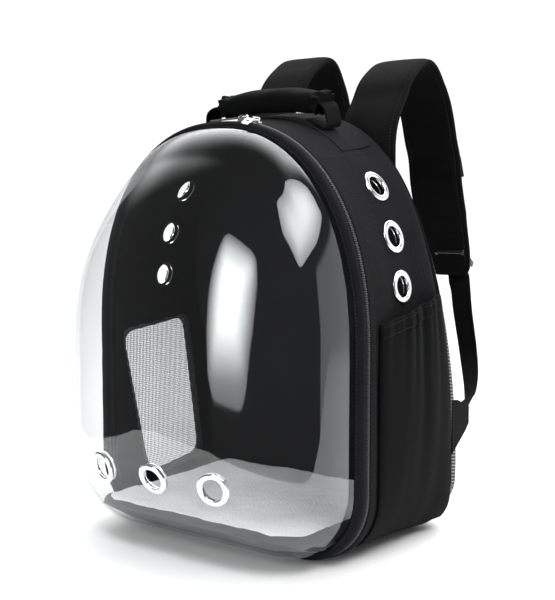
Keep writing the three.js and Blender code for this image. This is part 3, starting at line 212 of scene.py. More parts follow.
def clear_material():
    """Clear polished plastic: it lets light straight through and mirrors more towards its edges."""
    material, tree, shader = new_material("clear_plastic")
    tree.fill(shader, Base_Color=(0.93, 0.95, 0.96, 1), Metallic=1.0, Roughness=0.035)
    through = tree.add("BsdfTransparent", Color=(0.955, 0.96, 0.965, 1))
    mirrored = tree.add("Fresnel", IOR=1.8).outputs["Fac"]
    outside = tree.combine("SUBTRACT", 1.0, tree.add("NewGeometry").outputs["Backfacing"])
    mix = tree.add("MixShader", tree.combine("MULTIPLY", mirrored, outside), through.outputs["BSDF"],
                   shader.outputs["BSDF"])
    tree.fill(tree.nodes["Material Output"], Surface=mix.outputs["Shader"])
    return material


def plush_material():
    """Short pile: small tufts under patches of slightly different white."""
    material, tree, shader = new_material("plush")
    place = tree.place()
    tuft = tree.add("TexVoronoi", place, Scale=520.0).outputs["Distance"]
    pile = tree.add("TexNoise", place, Scale=60.0, Detail=8.0, Roughness=0.75).outputs["Fac"]
    tree.fill(shader, Base_Color=tree.ramp(pile, (0.25, (0.86, 0.86, 0.86)), (0.8, (0.97, 0.97, 0.97))),
              Roughness=0.95, Sheen_Weight=0.6, Normal=tree.bump(tuft, 0.7, 0.0012))
    return material


def air_mesh_material():
    """Spacer mesh: a light ground with a lattice of holes, which are coloured dark as painted shade."""
    material, tree, shader = new_material("air_mesh")
    lattice = sine_lattice(tree, 2.4, ((0.7, 0.1, 0.7), (0.7, -0.1, -0.7), (0, 0.7, 0.7), (0, 0.7, -0.7)))
    level = tree.add("MapRange", lattice, From_Min=-2.2, From_Max=2.2).outputs["Result"]
    # Painted shade: the lattice's low points, the holes, are coloured near black
    tree.fill(shader, Base_Color=tree.ramp(level, (0.45, (0.012, 0.012, 0.013)), (0.7, (0.3, 0.3, 0.3))),
              Roughness=0.9, Normal=tree.bump(level, 0.8, 0.0008))
    return material


def plain(name, color, rough):
    material, tree, shader = new_material(name)
    tree.fill(shader, Base_Color=(*color, 1), Roughness=rough)
    return material


CLOTH = cloth("side_cloth", (0.0062, 0.0062, 0.0072))
DARK = cloth("dark_cloth", (0.0019, 0.0021, 0.0023), pitch=0.9)
LINING = cloth("lining", (0.006, 0.006, 0.0065), pitch=0.8)
STRAP = cloth("strap_cloth", (0.0036, 0.0037, 0.0039), pitch=0.8)
WEB = cloth("webbing", (0.0024, 0.0025, 0.0028), pitch=1.6, depth=0.0003, directions=((0.3, 0.3, 1),))
THREAD = cloth("weave_shaded_tint", (0.028, 0.028, 0.031), pitch=0.5, rough=0.7)
NET = cloth("net", (0.1, 0.1, 0.105), pitch=0.7)
# Painted shade: the floor mat's sides get this dark cloth instead of the white plush
MAT_SIDE_SHADE = cloth("mat_side", (0.06, 0.06, 0.062), pitch=1.0)
METAL = solid_finish("plated_metal", (0.92, 0.92, 0.93), 0.17, metallic=1.0)
PLASTIC = solid_finish("moulded_plastic", (0.012, 0.012, 0.013), 0.2)
COIL = solid_finish("nylon_coil", (0.03, 0.03, 0.032), 0.32, grain=900.0)
CLEAR = clear_material()
PLUSH = plush_material()
HOLE_SHADED_MESH = air_mesh_material()

# Mesh helpers


def link(name, mesh):
    obj = bpy.data.objects.new(name, mesh)
    scene.collection.objects.link(obj)
    return obj


def solid(name, points, faces):
    """An object from points in millimetres, with its faces turned outwards."""
    mesh = bpy.data.meshes.new(name)
    metres = np.asarray(points, float).reshape(-1, 3) * MM
    mesh.from_pydata(metres.tolist(), [], [list(map(int, f)) for f in faces])
    mesh.validate()
    shape = bmesh.new()
    shape.from_mesh(mesh)
    bmesh.ops.recalc_face_normals(shape, faces=shape.faces)
    shape.to_mesh(mesh)
    shape.free()
    return link(name, mesh)


def shade(obj, angle):
    obj.data.shade_smooth()
    obj.data.set_sharp_from_angle(angle=math.radians(angle))


def make(name, points, faces, material, slot, replaces=(), smooth=True, flat_angle=40):
    """A piece that rides on the bag, and stands for the nodes that it replaces."""
    obj = solid(name, points, faces)
    obj.data.materials.append(material)
    if smooth:
        shade(obj, flat_angle)
    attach(obj, BODY)
    if replaces:
        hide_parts(*replaces)
    return obj


def grid_faces(rows, columns, wrap_rows=False, wrap_columns=False, start=0):
    faces = []
    for r in range(rows if wrap_rows else rows - 1):
        for c in range(columns if wrap_columns else columns - 1):
            a, b = r * columns + c, r * columns + (c + 1) % columns
            d, e = ((r + 1) % rows) * columns + c, ((r + 1) % rows) * columns + (c + 1) % columns
            faces.append((start + a, start + b, start + e, start + d))
    return faces


def tube(rings, caps=True):
    """Points and faces of a skin through rings of the same count, capped by a fan at each end."""
    rings = np.asarray(rings, float)
    rows, columns = rings.shape[:2]
    points = rings.reshape(-1, 3)
    faces = grid_faces(rows, columns, wrap_columns=True)
    if caps:
        for row in (0, rows - 1):
            centre = len(points)
            points = np.vstack([points, rings[row].mean(0)])
            faces += [(row * columns + c, row * columns + (c + 1) % columns, centre) for c in range(columns)]
    return points, faces


def hoop(rings):
    rings = np.asarray(rings, float)
    return rings.reshape(-1, 3), grid_faces(*rings.shape[:2], wrap_rows=True, wrap_columns=True)


def slab(front, back):
    """A closed sheet between two grids of points."""
    front, back = np.asarray(front, float), np.asarray(back, float)
    rows, columns = front.shape[:2]
    count = rows * columns
    faces = grid_faces(rows, columns) + [f[::-1] for f in grid_faces(rows, columns, start=count)]
    edge = list(range(columns - 1))
    edge += [r * columns + columns - 1 for r in range(rows - 1)]
    edge += [(rows - 1) * columns + c for c in range(columns - 1, 0, -1)]
    edge += [r * columns for r in range(rows - 1, 0, -1)]
    for i, a in enumerate(edge):
        b = edge[(i + 1) % len(edge)]
        faces.append((a, b, count + b, count + a))
    return np.vstack([front.reshape(-1, 3), back.reshape(-1, 3)]), faces


def unit(v):
    return v / np.maximum(np.linalg.norm(v, axis=-1, keepdims=True), 1e-9)


def full_turn(count):
    return np.linspace(0, 2 * np.pi, count, endpoint=False)


def closed(line):
    return np.vstack([line, line[:1]])


def run_length(line):
    return np.r_[0, np.cumsum(np.linalg.norm(np.diff(line, axis=0), axis=1))]


def between(at, steps, rows):
    """The point at a place along a line whose points are rows and whose run so far is steps."""
    return np.array([np.interp(at, steps, rows[:, k]) for k in range(3)])


def tangents(line):
    longer = np.vstack([line[:1], line, line[-1:]])
    return unit(longer[2:] - longer[:-2])


def stitches(name, path, normals):
    """A row of stitches along a path, as one mesh of small spindles."""
    pitch, length, radius, rise, sunk = 3.4, 2.4, 0.42, 0.15, 0.1
    path, normals = np.asarray(path, float), np.asarray(normals, float)
    steps = run_length(path)
    points, faces = [], []
    for s in np.arange(pitch / 2, steps[-1], pitch):
        ends = [between(s + d, steps, path) for d in (-length / 2, length / 2)]
        n = unit(between(s, steps, normals))
        middle = (ends[0] + ends[1]) / 2 + n * rise
        side = unit(np.cross(ends[1] - ends[0], n))
        base = len(points)
        points += [ends[0] - n * sunk, ends[1] - n * sunk, middle + side * radius, middle + n * radius,
                   middle - side * radius, middle - n * radius * 0.5]
        for a, b in ((2, 3), (3, 4), (4, 5), (5, 2)):
            faces += [(base, base + a, base + b), (base + 1, base + b, base + a)]
    make(name, points, faces, THREAD, "webbing")


def cut_with(obj, tools):
    """Takes the tools' solids out of a piece and removes them."""
    for tool in tools:
        modifier = obj.modifiers.new("cut", "BOOLEAN")
        modifier.operation = "DIFFERENCE"
        modifier.solver = "EXACT"
        modifier.object = tool
    bpy.context.view_layer.update()
    graph = bpy.context.evaluated_depsgraph_get()
    mesh = bpy.data.meshes.new_from_object(obj.evaluated_get(graph))
    obj.modifiers.clear()
    obj.data = mesh
    for tool in tools:
        bpy.data.objects.remove(tool)


def rounded(corners, steps, offset):
    """Outline of a polygon with a bend at each corner. offset says how far along a side a bend starts."""
    outline = []
    for i, corner in enumerate(corners):
        enter = corner + offset(corners[i - 1] - corner)
        leave = corner + offset(corners[(i + 1) % len(corners)] - corner)
        for t in np.linspace(0, 1, steps):
            outline.append((1 - t) ** 2 * enter + 2 * t * (1 - t) * corner + t * t * leave)
    return np.array(outline)


def round_rings(centre, axis, profile, sides, start):
    """Rings about an axis, one for each radius and height in the profile."""
    u = unit(np.cross(axis, start))
    v = np.cross(axis, u)
    return [[centre + h * axis + r * (math.cos(a) * u + math.sin(a) * v) for a in full_turn(sides)]
            for r, h in profile]


# Outlines of the arch


def arch(half, base, top, spring, corner):
    """Points x, z round the arch from the middle of the base, and the outward normals."""
    half, base, top, spring, corner = map(float, (half, base, top, spring, corner))
    angle = np.linspace(0, np.pi / 2, 15)
    up = np.linspace(0, 1, 13)[1:-1]
    sweep = np.linspace(0, np.pi / 2, 45)
    x = np.r_[np.linspace(0, half - corner, 12)[:-1], half - corner + corner * np.sin(angle),
              np.full(len(up), half), half * np.cos(sweep).clip(0) ** (2 / POWER)]
    z = np.r_[np.full(11, base), base + corner * (1 - np.cos(angle)),
              base + corner + (spring - base - corner) * up,
              spring + (top - spring) * np.sin(sweep) ** (2 / POWER)]
    x, z = np.r_[x, -x[-2:0:-1]], np.r_[z, z[-2:0:-1]]
    into = unit(np.stack([x - np.roll(x, 1), z - np.roll(z, 1)], 1))
    out = unit(np.stack([np.roll(x, -1) - x, np.roll(z, -1) - z], 1))
    along = unit(into + out)
    return x, z, along[:, 1], -along[:, 0]


RIM = arch(RIM_HALF, RIM_BASE, RIM_TOP, SPRING, RIM_CORNER)
COUNT = len(RIM[0])


def rim_ring(out, depth):
    x, z, nx, nz = RIM
    return np.stack([x + nx * out, np.full(COUNT, float(RIM_Y + depth)), z + nz * out], 1)


def body_depth(z):
    return TOP_DEPTH + (BASE_DEPTH - TOP_DEPTH) * smooth_table(BACK_SHAPE, z / BACK_TOP)


def body_half(share):
    """Half width: it draws in behind the front edge and swells again to the bound back edge."""
    swell = np.clip((share - 0.72) / 0.28, 0, 1)
    waist = HALF_WIDTH + (WAIST_HALF - HALF_WIDTH) * np.minimum(1, share / TAPER)
    return waist + (BACK_HALF - WAIST_HALF) * swell ** 2 * (3 - 2 * swell)


def body_top(share):
    return FRONT_TOP + (BACK_TOP - FRONT_TOP) * share


def body_corner(share):
    return CORNER + (BACK_CORNER - CORNER) * share


def back_radius(z):
    return EDGE_RADIUS + (BOTTOM_RADIUS - EDGE_RADIUS) * np.clip(1 - z / CORNER, 0, 1)


def body_y(share, z, radius=None):
    radius = back_radius(z) if radius is None else radius
    return RIM_Y + BODY_FRONT + (body_depth(z) - radius - BODY_FRONT) * share


def body_share(y, z):
    """The share of the body's depth at which a point lies."""
    return (y - body_y(0.0, z)) / (body_y(1.0, z) - body_y(0.0, z))


def body_ring(share, turn=0.0, offset=0.0):
    x, z, nx, nz = arch(body_half(share), 0, body_top(share), SPRING, body_corner(share))
    radius = back_radius(z)
    inset = radius * (1 - math.cos(turn)) - offset * math.cos(turn)
    height = z - nz * inset
    y = body_y(share, height, radius) + (radius + offset) * math.sin(turn)
    return np.stack([x - nx * inset, y, height], 1)


def side_x(share, z):
    half, corner, top = body_half(share), body_corner(share), body_top(share)
    low = half - corner + np.sqrt(np.clip(corner ** 2 - np.clip(corner - z, 0, None) ** 2, 0, None))
    high = half * np.clip(1 - np.clip((z - SPRING) / (top - SPRING), 0, 1) ** POWER, 0, 1) ** (1 / POWER)
    return np.where(z < SPRING, low, high)


def arch_height(x, share):
    rise = body_top(share) - SPRING
    return SPRING + rise * (1 - (np.abs(x) / body_half(share)) ** POWER) ** (1 / POWER)


def arch_frame(x, share):
    """Point and outward normal on the top of the body."""
    slope = arch_height(x + 0.5, share) - arch_height(x - 0.5, share)
    z = arch_height(x, share)
    n = unit(np.stack([-slope, np.zeros_like(slope), np.ones_like(slope)], -1))
    return np.stack([x, body_y(share, z), z], -1), n


# Eyelets: each keeps the place of its CAD node, with a smooth turned shape


def node_points(name):
    return np.array([v.co for v in NODES[name].data.vertices]) / MM


def node_axis(name, outward):
    """Centre, axis and reach along the axis of a turned node."""
    points = node_points(name)
    centre = points.mean(0)
    axis = np.linalg.svd(points - centre, full_matrices=False)[2][2]
    if axis @ outward < 0:
        axis = -axis
    height = (points - centre) @ axis
    return centre, axis, height.min(), height.max()


def turned(name, centre, axis, profile, replaces=()):
    start = [0.0, 0.0, 1.0] if abs(axis[2]) < 0.9 else [1.0, 0.0, 0.0]
    rings = round_rings(centre, axis, profile, 72, start)
    return make(name, *hoop(rings), METAL, "metal", replaces, flat_angle=50)


SIDES = ((1, "right"), (-1, "left"))
EYELETS = {}
for side, word in SIDES:
    for i in (1, 2, 3):
        EYELETS[f"side_eyelet_{word}_{i}"] = np.array([side, 0, 0.2])
for i in (1, 2, 3):
    EYELETS[f"front_eyelet_{i}"] = np.array([0, -1.0, 0])

eyelet_places = {}
for node, outward in EYELETS.items():
    centre, axis, low, high = node_axis(node, outward)
    eyelet_places[node] = (centre, axis)
    rise = high - 2.2
    dome = [(13 + 2.9 * math.cos(a), rise + 0.5 + 1.3 * math.sin(a)) for a in np.linspace(0.15, 3.0, 14)]
    ring = [(11.2, rise), (15.6, rise), (16, rise + 0.35)] + dome + [(10.2, rise - 0.6), (10.6, rise - 1.6),
                                                                     (11.2, rise - 1.6)]
    turned(node.replace("eyelet", "grommet"), centre, axis, ring, [node])
    washer = [(12.2, low), (14.4, low), (14.5, low + 0.5), (14.3, low + 1), (12.2, low + 1)]
    turned(node.replace("eyelet", "washer"), centre, axis, washer)


HOLE_RADIUS, HOLE_LENGTH = 11.8, 70


def hole_tool(node):
    centre, axis = eyelet_places[node]
    profile = [(HOLE_RADIUS, -HOLE_LENGTH / 2), (HOLE_RADIUS, HOLE_LENGTH / 2)]
    return solid("tool", *tube(round_rings(centre, axis, profile, 56, [0.1, 0.2, 0.97])))


# Window in the left wall

WINDOW = [(26, 193), (123, 204), (151, 42), (62, 33)]
WINDOW_ROUND = 16


def window_outline(margin, steps=7):
    corners = np.array([(RIM_Y + b, z) for b, z in WINDOW], float)
    middle = corners.mean(0)
    corners = corners + margin * np.sign(corners - middle)
    return rounded(corners, steps, lambda side: unit(side) * WINDOW_ROUND)


def window_tool():
    outline = window_outline(0)
    rings = [np.stack([np.full(len(outline), x), outline[:, 0], outline[:, 1]], 1) for x in (-250.0, -80.0)]
    return solid("tool", *tube(rings))


# Body shell: the cloth puckers round the eyelets and waves a little between them


def shell_relief(points, normals):
    points = np.asarray(points, float)
    wave = 0.5 * ripple(points, 95, 3) + 0.22 * ripple(points, 38, 4)
    edge = np.clip((points[:, 1] - (RIM_Y + BODY_FRONT)) / 16, 0, 1)
    top = np.clip((points[:, 2] - 60) / 60, 0.25, 1)
    move = wave * edge * top
    for name, (centre, axis) in eyelet_places.items():
        if name.startswith("front"):
            continue
        offset = points - centre
        along = offset @ axis
        flat = offset - np.outer(along, axis)
        distance = np.linalg.norm(flat, axis=1)
        angle = np.arctan2(flat[:, 2], flat[:, 1])
        near = np.exp(-((distance - 15) / 9).clip(0) ** 2) * (np.abs(along) < 20)
        move = move * (1 - near) + near * (0.16 * np.sin(angle * 9 + 1) * (distance > 12) - 0.05)
    return points + normals * move[:, None]


SHARES = np.r_[0, 0.02, np.linspace(0.06, 1, 34)]
TURNS = np.linspace(0, np.pi / 2, 7)[1:]


def body_normals(share):
    x, z, nx, nz = arch(body_half(share), 0, body_top(share), SPRING, body_corner(share))
    return np.stack([nx, np.zeros_like(nx), nz], 1)


outer = [shell_relief(body_ring(s), body_normals(s)) for s in SHARES]
outer += [body_ring(1, t) for t in TURNS]
inner = [body_ring(s, 0, -WALL) for s in SHARES] + [body_ring(1, t, -WALL) for t in TURNS]
shell_points, shell_faces = tube(outer[::-1] + inner)
shell = make("shell_cloth", shell_points, shell_faces, CLOTH, "cloth", ["bag_body"])
shell.data.materials.append(LINING)
cut_with(shell, [hole_tool(n) for n in EYELETS if n.startswith("side")] + [window_tool()])
shade(shell, 40)

# Bubble: rings from the rim to the nose


def falloff(share, rise, fall):
    return np.clip(1 - share ** rise, 0, 1) ** (1 / fall)


ROUND_FROM = 0.695
CROWN_EASE, CROWN_SWELL = 0.12, 3


def side_falloff(share):
    if share <= ROUND_FROM:
        return falloff(share, 4.08, 1.05)
    return falloff(ROUND_FROM, 4.08, 1.05) * math.sqrt(max(0, (1 - share) / (1 - ROUND_FROM)))


def bubble_ring(share, inset):
    settled = max(0, 1 - share / 0.06) ** 2
    low = BUBBLE_LOW + (RIM_BASE - BUBBLE_LOW) * settled
    side = side_falloff(share)
    half = RIM_HALF * side - inset
    base = low + (NOSE_Z - low) * (1 - falloff(share, 2.08, 2.07)) + inset
    eased = share ** 2 / (share ** 2 + CROWN_EASE ** 2)
    swell = CROWN_SWELL * math.sin(math.pi * min(1, share / 0.35))
    top = RIM_TOP - (RIM_TOP - NOSE_Z) * (1 - falloff(share, 1.1, 2.88)) * eased + swell - inset
    spring = base + (top - base) * (SPRING - RIM_BASE) / (RIM_TOP - RIM_BASE)
    corner = min(RIM_CORNER * (1 + 0.19 * (1 - settled)) * side - inset, 0.9 * half, 0.9 * (spring - base))
    x, z, _, _ = arch(max(half, 0.5), base, top, spring, max(corner, 0.3))
    return np.stack([x, np.full(len(x), RIM_Y - (BULGE - inset) * share), z], 1)


def bubble_mesh():
    flange = (FRAME_DEPTH - BUBBLE_WALL) / 2
    shares = np.r_[0.012, 0.03, 0.05, np.sin(np.linspace(0.08, np.pi / 2, 46)) * 0.9985]
    outer = [bubble_ring(s, 0) for s in shares][::-1]
    rim = [rim_ring(0, 0), rim_ring(0, flange), rim_ring(5.6, flange), rim_ring(5.6, flange + BUBBLE_WALL),
           rim_ring(-BUBBLE_WALL, flange + BUBBLE_WALL), rim_ring(-BUBBLE_WALL, 0)]
    inner = [bubble_ring(s, BUBBLE_WALL) for s in shares]
    return tube(outer + rim + inner)


dome = make("dome", *bubble_mesh(), CLEAR, "clear_shell", ["bubble"])
cut_with(dome, [hole_tool(f"front_eyelet_{i}") for i in (1, 2, 3)])
shade(dome, 35)

# Binding that holds the bubble, with its stitch line


def binding():
    flange = (FRAME_DEPTH - BUBBLE_WALL) / 2
    seat = flange + BUBBLE_WALL + GAP
    profile = [(GAP, flange - GAP), (GAP, -0.2), (1.0, -0.9), (3.2, -1.25), (5.2, -0.9), (6.6, 0.2),
               (7.4, 1.8), (7.5, 4), (7.5, FRAME_DEPTH - 0.6), (6.9, FRAME_DEPTH),
               (-INNER_LIP, FRAME_DEPTH), (-INNER_LIP, seat), (5.9, seat), (5.9, flange - GAP)]
    rings = []
    for out, depth in profile:
        ring = rim_ring(out, depth)
        if depth < 1:
            ring[:, 1] += 0.14 * ripple(ring, 16, 11)
        rings.append(ring)
    return hoop(rings)


make("rim_binding", *binding(), CLOTH, "cloth", ["door_frame"], flat_angle=55)
binding_line = rim_ring(2.2, -1.2)
stitches("rim_stitches", closed(binding_line), np.tile([0, -1.0, 0], (COUNT + 1, 1)))

# Zip: two tapes and a coil of separate turns, then the plain hinge cloth along the floor

ZIP_FRONT = FRAME_DEPTH + GAP
COIL_MIDDLE = ZIP_FRONT + ZIP_DEPTH / 2
arch_part = slice(1, COUNT)


def zip_tape():
    profile = [(3.6, ZIP_FRONT), (4.9, ZIP_FRONT), (5.1, ZIP_FRONT + 1.2), (5.0, COIL_MIDDLE - 2.1),
               (4.6, COIL_MIDDLE - 1.9), (4.6, COIL_MIDDLE + 1.9), (5.0, COIL_MIDDLE + 2.1),
               (5.1, ZIP_FRONT + ZIP_DEPTH - 1.2), (4.9, ZIP_FRONT + ZIP_DEPTH), (3.6, ZIP_FRONT + ZIP_DEPTH)]
    rows = np.stack([rim_ring(out, depth)[arch_part] for out, depth in profile], 1)
    return tube(rows)


make("zip_tape", *zip_tape(), WEB, "dark_cloth", ["zipper"])


def coil_turns():
    path = rim_ring(6.4, COIL_MIDDLE)[arch_part]
    normal = np.stack([RIM[2], np.zeros(COUNT), RIM[3]], 1)[arch_part]
    steps = run_length(path)
    points, faces = [], []
    for k, s in enumerate(np.arange(1, steps[-1], 2.1)):
        at = between(s, steps, path)
        n = unit(between(s, steps, normal))
        t = np.cross(n, [0, 1.0, 0])
        base = len(points)
        for y, up, wide in ((-2.4, 0.1, 0.6), (-1.1, 1.6, 0.72), (1.1, 1.6, 0.72), (2.4, 0.1, 0.6)):
            shift = 0.3 if k % 2 else -0.3
            middle = at + np.array([0, y + shift, 0]) + n * (up - 0.6)
            points += [middle - t * wide, middle + n * 0.45, middle + t * wide, middle - n * 0.6]
        faces += grid_faces(4, 4, wrap_columns=True, start=base)
        faces += [(base, base + 1, base + 2, base + 3), (base + 15, base + 14, base + 13, base + 12)]
    return points, faces


make("zip_coil", *coil_turns(), COIL, "dark_cloth", flat_angle=60)

end = RIM_HALF - RIM_CORNER - GAP
xs = np.linspace(-end, end, 60)
hinge_rows = []
for height in (0, 1.4):
    hinge_rows.append([[(x, RIM_Y + d, RIM_BASE - ZIP_RISE + height - 0.25 * math.sin(i * 0.9) * math.sin(d))
                        for x in xs] for i, d in enumerate(np.linspace(ZIP_FRONT, ZIP_FRONT + ZIP_DEPTH, 6))])
make("hinge_cloth", *slab(*hinge_rows), DARK, "dark_cloth", ["hinge_strip"])

# Flap of tape sewn to the body just behind the zip, with a stitch line near each edge


FLAP_FRONT, FLAP_BACK, FLAP_THICKNESS = 0.4, 11.5, 1.1
STRAIGHT = body_depth(np.array([200.0]))[0] - EDGE_RADIUS - BODY_FRONT


def zip_flap():
    """Closed strip round the arch on the body, just behind its front edge."""
    depths = np.linspace(FLAP_FRONT, FLAP_BACK, 8)
    rings = []
    for d in depths:
        edge = min(1, (d - FLAP_FRONT) / 1.2, (FLAP_BACK - d) / 1.2)
        ring = body_ring(d / STRAIGHT, 0, 0.15 + FLAP_THICKNESS * max(0.0, edge))
        rings.append(ring + body_normals(d / STRAIGHT) * (0.12 * ripple(ring, 22, 21))[:, None])
    return hoop(rings + [body_ring(d / STRAIGHT, 0, 0.05) for d in depths[::-1]])


flap = make("zip_flap", *zip_flap(), CLOTH, "cloth")
for number, d in enumerate((2.2, 9.6)):
    line = body_ring(d / STRAIGHT, 0, 1.25)
    stitches(f"flap_stitches_{number}", line[arch_part], body_normals(d / STRAIGHT)[arch_part])

# Raised piping round the back edge


def piping():
    rings = []
    base = body_ring(1, math.pi * 0.3)
    x, z, nx, nz = arch(BACK_HALF, 0, BACK_TOP, SPRING, BACK_CORNER)
    out = np.stack([nx * 0.6, np.full(len(nx), 0.8), nz * 0.6], 1)
    side = np.stack([nx * 0.8, np.full(len(nx), -0.6), nz * 0.8], 1)
    for a in full_turn(10):
        rings.append(base + out * (0.6 + 1.9 * math.cos(a)) + side * 1.9 * math.sin(a))
    return hoop(rings)


make("back_piping", *piping(), DARK, "cloth")

# Seam between the top panel and each side panel, and the yoke over the rear of the top

SEAM_X = 101.0

for side, word in SIDES:
    shares = np.linspace(0.085, 0.97, 60)
    base = [arch_frame(np.array([side * SEAM_X]), s) for s in shares]
    line = np.array([p[0] + n[0] * 0.35 for p, n in base])
    lift = np.array([n[0] for p, n in base])
    stitches(f"panel_seam_{word}", line, lift)


YOKE_HALF, YOKE_SHARES, YOKE_SEAT, YOKE_THICKNESS = 97, (0.46, 0.9), 0.25, 0.6


def yoke_sheet():
    xs = np.linspace(-YOKE_HALF, YOKE_HALF, 46)
    top, under = [], []
    for s in np.linspace(*YOKE_SHARES, 14):
        p, n = arch_frame(xs, s)
        top.append(p + n * (YOKE_SEAT + YOKE_THICKNESS + 0.1 * ripple(p, 40, 31))[:, None])
        under.append(p + n * YOKE_SEAT)
    return slab(top, under)


yoke = make("yoke_cloth", *yoke_sheet(), CLOTH, "cloth", ["yoke_patch"])
for number, s in enumerate((0.475, 0.495, 0.885)):
    p, n = arch_frame(np.linspace(-94, 94, 90), s)
    stitches(f"yoke_stitches_{number}", p + n * 0.95, n)

# Back pad of spacer mesh: crowned, with shallow sewn channels and a bound edge


def pad_front(z):
    return RIM_Y + body_depth(z) + PAD_SEAT


def pad_thickness(z):
    return PAD_THIN + (PAD_LUMBAR - PAD_THIN) * smooth_table(PAD_SHAPE, z / BACK_TOP)


PAD_OUTLINE = arch(BACK_HALF - 1, 12, BACK_TOP - 9, SPRING, 38)


def pad_channel(x, z):
    """Depth of the sewn channels on the pad's face, from 0 to 1."""
    lines = [np.exp(-((z - level - 0.0012 * x ** 2) / 5) ** 2) for level in (92, 172, 252, 326)]
    return np.clip(np.max(lines, axis=0) * (np.abs(x) < 118), 0, 1)


def back_pad():
    x, z, nx, nz = PAD_OUTLINE
    rings = []
    for inset, depth in ((3, 0), (0.6, 0.12), (0, 0.35), (0.6, 0.62), (3, 0.86), (7, 0.97)):
        height = z - nz * inset
        rings.append(np.stack([x - nx * inset, pad_front(height) + pad_thickness(height) * depth, height], 1))
    centre = np.array([0.0, 205.0])
    for share in np.linspace(0.04, 0.97, 30):
        px = (x - nx * 7) * (1 - share) + centre[0] * share
        pz = (z - nz * 7) * (1 - share) + centre[1] * share
        thick = pad_thickness(pz)
        crown = 1.0 * (1 - (px / 150) ** 2)
        y = pad_front(pz) + thick * 0.97 + crown - (1.2 + 0.09 * thick) * pad_channel(px, pz)
        rings.append(np.stack([px, y, pz], 1))
    return tube(rings)


pad = make("mesh_pad", *back_pad(), HOLE_SHADED_MESH, "air_mesh", ["back_pad"])
x, z, nx, nz = PAD_OUTLINE
edge_rings = []
for a in full_turn(8):
    inset = 0.6 - 1.2 * math.sin(a)
    height = z - nz * inset
    edge_rings.append(np.stack([x - nx * inset, pad_front(height) + 0.9 + 1.2 * math.cos(a), height], 1))
make("pad_binding", *hoop(edge_rings), DARK, "air_mesh")

# Net in the window: separate strands in two directions, inside the wall, and a bound edge


def inside_edge(points, outline):
    y, z = points[..., 0], points[..., 1]
    inside = np.zeros(y.shape, bool)
    for (ya, za), (yb, zb) in zip(outline, np.roll(outline, -1, axis=0)):
        cross = (za > z) != (zb > z)
        with np.errstate(divide="ignore", invalid="ignore"):
            at = (yb - ya) * (z - za) / (zb - za) + ya
        inside ^= cross & (y < at)
    return inside


def wall_x(y, z, offset):
    return -(side_x(np.clip(body_share(y, z), 0, 1), z) + offset)


def net():
    """Strands in two directions, each a thin square cord along the inside of the wall."""
    outline = window_outline(4.5)
    pitch, thick = 2.1, 0.24
    ys = np.arange(outline[:, 0].min(), outline[:, 0].max(), pitch)
    zs = np.arange(outline[:, 1].min(), outline[:, 1].max(), pitch)
    lines = [np.stack([np.full(len(zs), y), zs], 1) for y in ys]
    lines += [np.stack([ys, np.full(len(ys), z)], 1) for z in zs]
    points, faces = [], []
    for line in lines:
        inside = np.flatnonzero(inside_edge(line, outline))
        if len(inside) < 2:
            continue
        run = line[inside[0]:inside[-1] + 1]
        across = np.array([1.0, 0]) if run[0, 0] == run[1, 0] else np.array([0, 1.0])
        corners = []
        for side, lift in ((1, 1), (-1, 1), (-1, -1), (1, -1)):
            place = run + across * side * thick
            depth = -WALL - 2 * GAP - 0.5 + lift * thick
            corners.append(np.stack([wall_x(place[:, 0], place[:, 1], depth), place[:, 0], place[:, 1]], 1))
        rings = np.stack(corners, 1)
        start, end = len(points), len(points) + 4 * len(run) - 1
        faces += grid_faces(len(run), 4, wrap_columns=True, start=start)
        faces += [(start, start + 1, start + 2, start + 3), (end, end - 1, end - 2, end - 3)]
        points += list(rings.reshape(-1, 3))
    return points, faces


netting = make("window_net", *net(), NET, "air_mesh", ["window_mesh"], smooth=False)


def window_binding():
    outline = window_outline(0, 9)
    dense = []
    for a, b in zip(outline, np.roll(outline, -1, axis=0)):
        steps = max(1, int(np.linalg.norm(b - a) / 6))
        dense += [a + (b - a) * t for t in np.arange(steps) / steps]
    dense = np.array(dense)
    outward = unit(dense - dense.mean(0))
    rings = []
    for out, height in ((-0.6, 0.3), (-0.6, 1.2), (0.6, 1.7), (4.4, 1.5), (5.2, 0.9), (5.2, 0.2)):
        p = dense + outward * out
        rings.append(np.stack([wall_x(p[:, 0], p[:, 1], height), p[:, 0], p[:, 1]], 1))
    return hoop(rings), dense + outward * 3


window_edge, window_line = window_binding()
make("window_binding", *window_edge, DARK, "cloth")
y, z = closed(window_line).T
stitches("window_stitches", np.stack([wall_x(y, z, 1.6), y, z], 1), np.tile([-1.0, 0, 0], (len(y), 1)))

# Side pocket, gathered by the elastic in its hem

POCKET_FRONT, POCKET_MARGIN, HEM = 32, 6, 15


def pocket_top(along):
    return 223 + 22 * along


def pocket_bulge(along, up):
    swell = np.sin(np.pi * along) ** 0.6 * np.sin((np.pi / 2) * np.minimum(1, up * 1.6))
    slant = along + 0.12 * (1 - up)
    waves = np.cos(2 * np.pi * 2.7 * slant) + 0.5 * np.sin(2 * np.pi * 4.3 * slant)
    fold = np.sin(np.pi * along) * waves * up
    return np.maximum(0, 11 * swell + 1.5 * fold)


# Each fold's place, width, depth in millimetres and reach down the pocket
FOLDS = ((0.14, 0.03, 1.2, 0.4), (0.3, 0.04, 2.2, 0.75), (0.45, 0.025, 1.5, 0.5), (0.6, 0.045, 2.4, 0.9),
         (0.74, 0.03, 1.5, 0.5), (0.86, 0.035, 1.6, 0.6))


def pocket_relief(along, up):
    """Folds that start under the hem and fade on the way down."""
    fine = np.zeros_like(along)
    for centre, width, depth, reach in FOLDS:
        drift = centre - (0.1 + 0.1 * centre) * (1 - up)
        fade = np.clip((up - (1 - reach)) / reach, 0, 1)
        fine = fine - depth * fade * np.exp(-((along - drift) / (width * (1.9 - 0.9 * fade))) ** 2)
    return fine


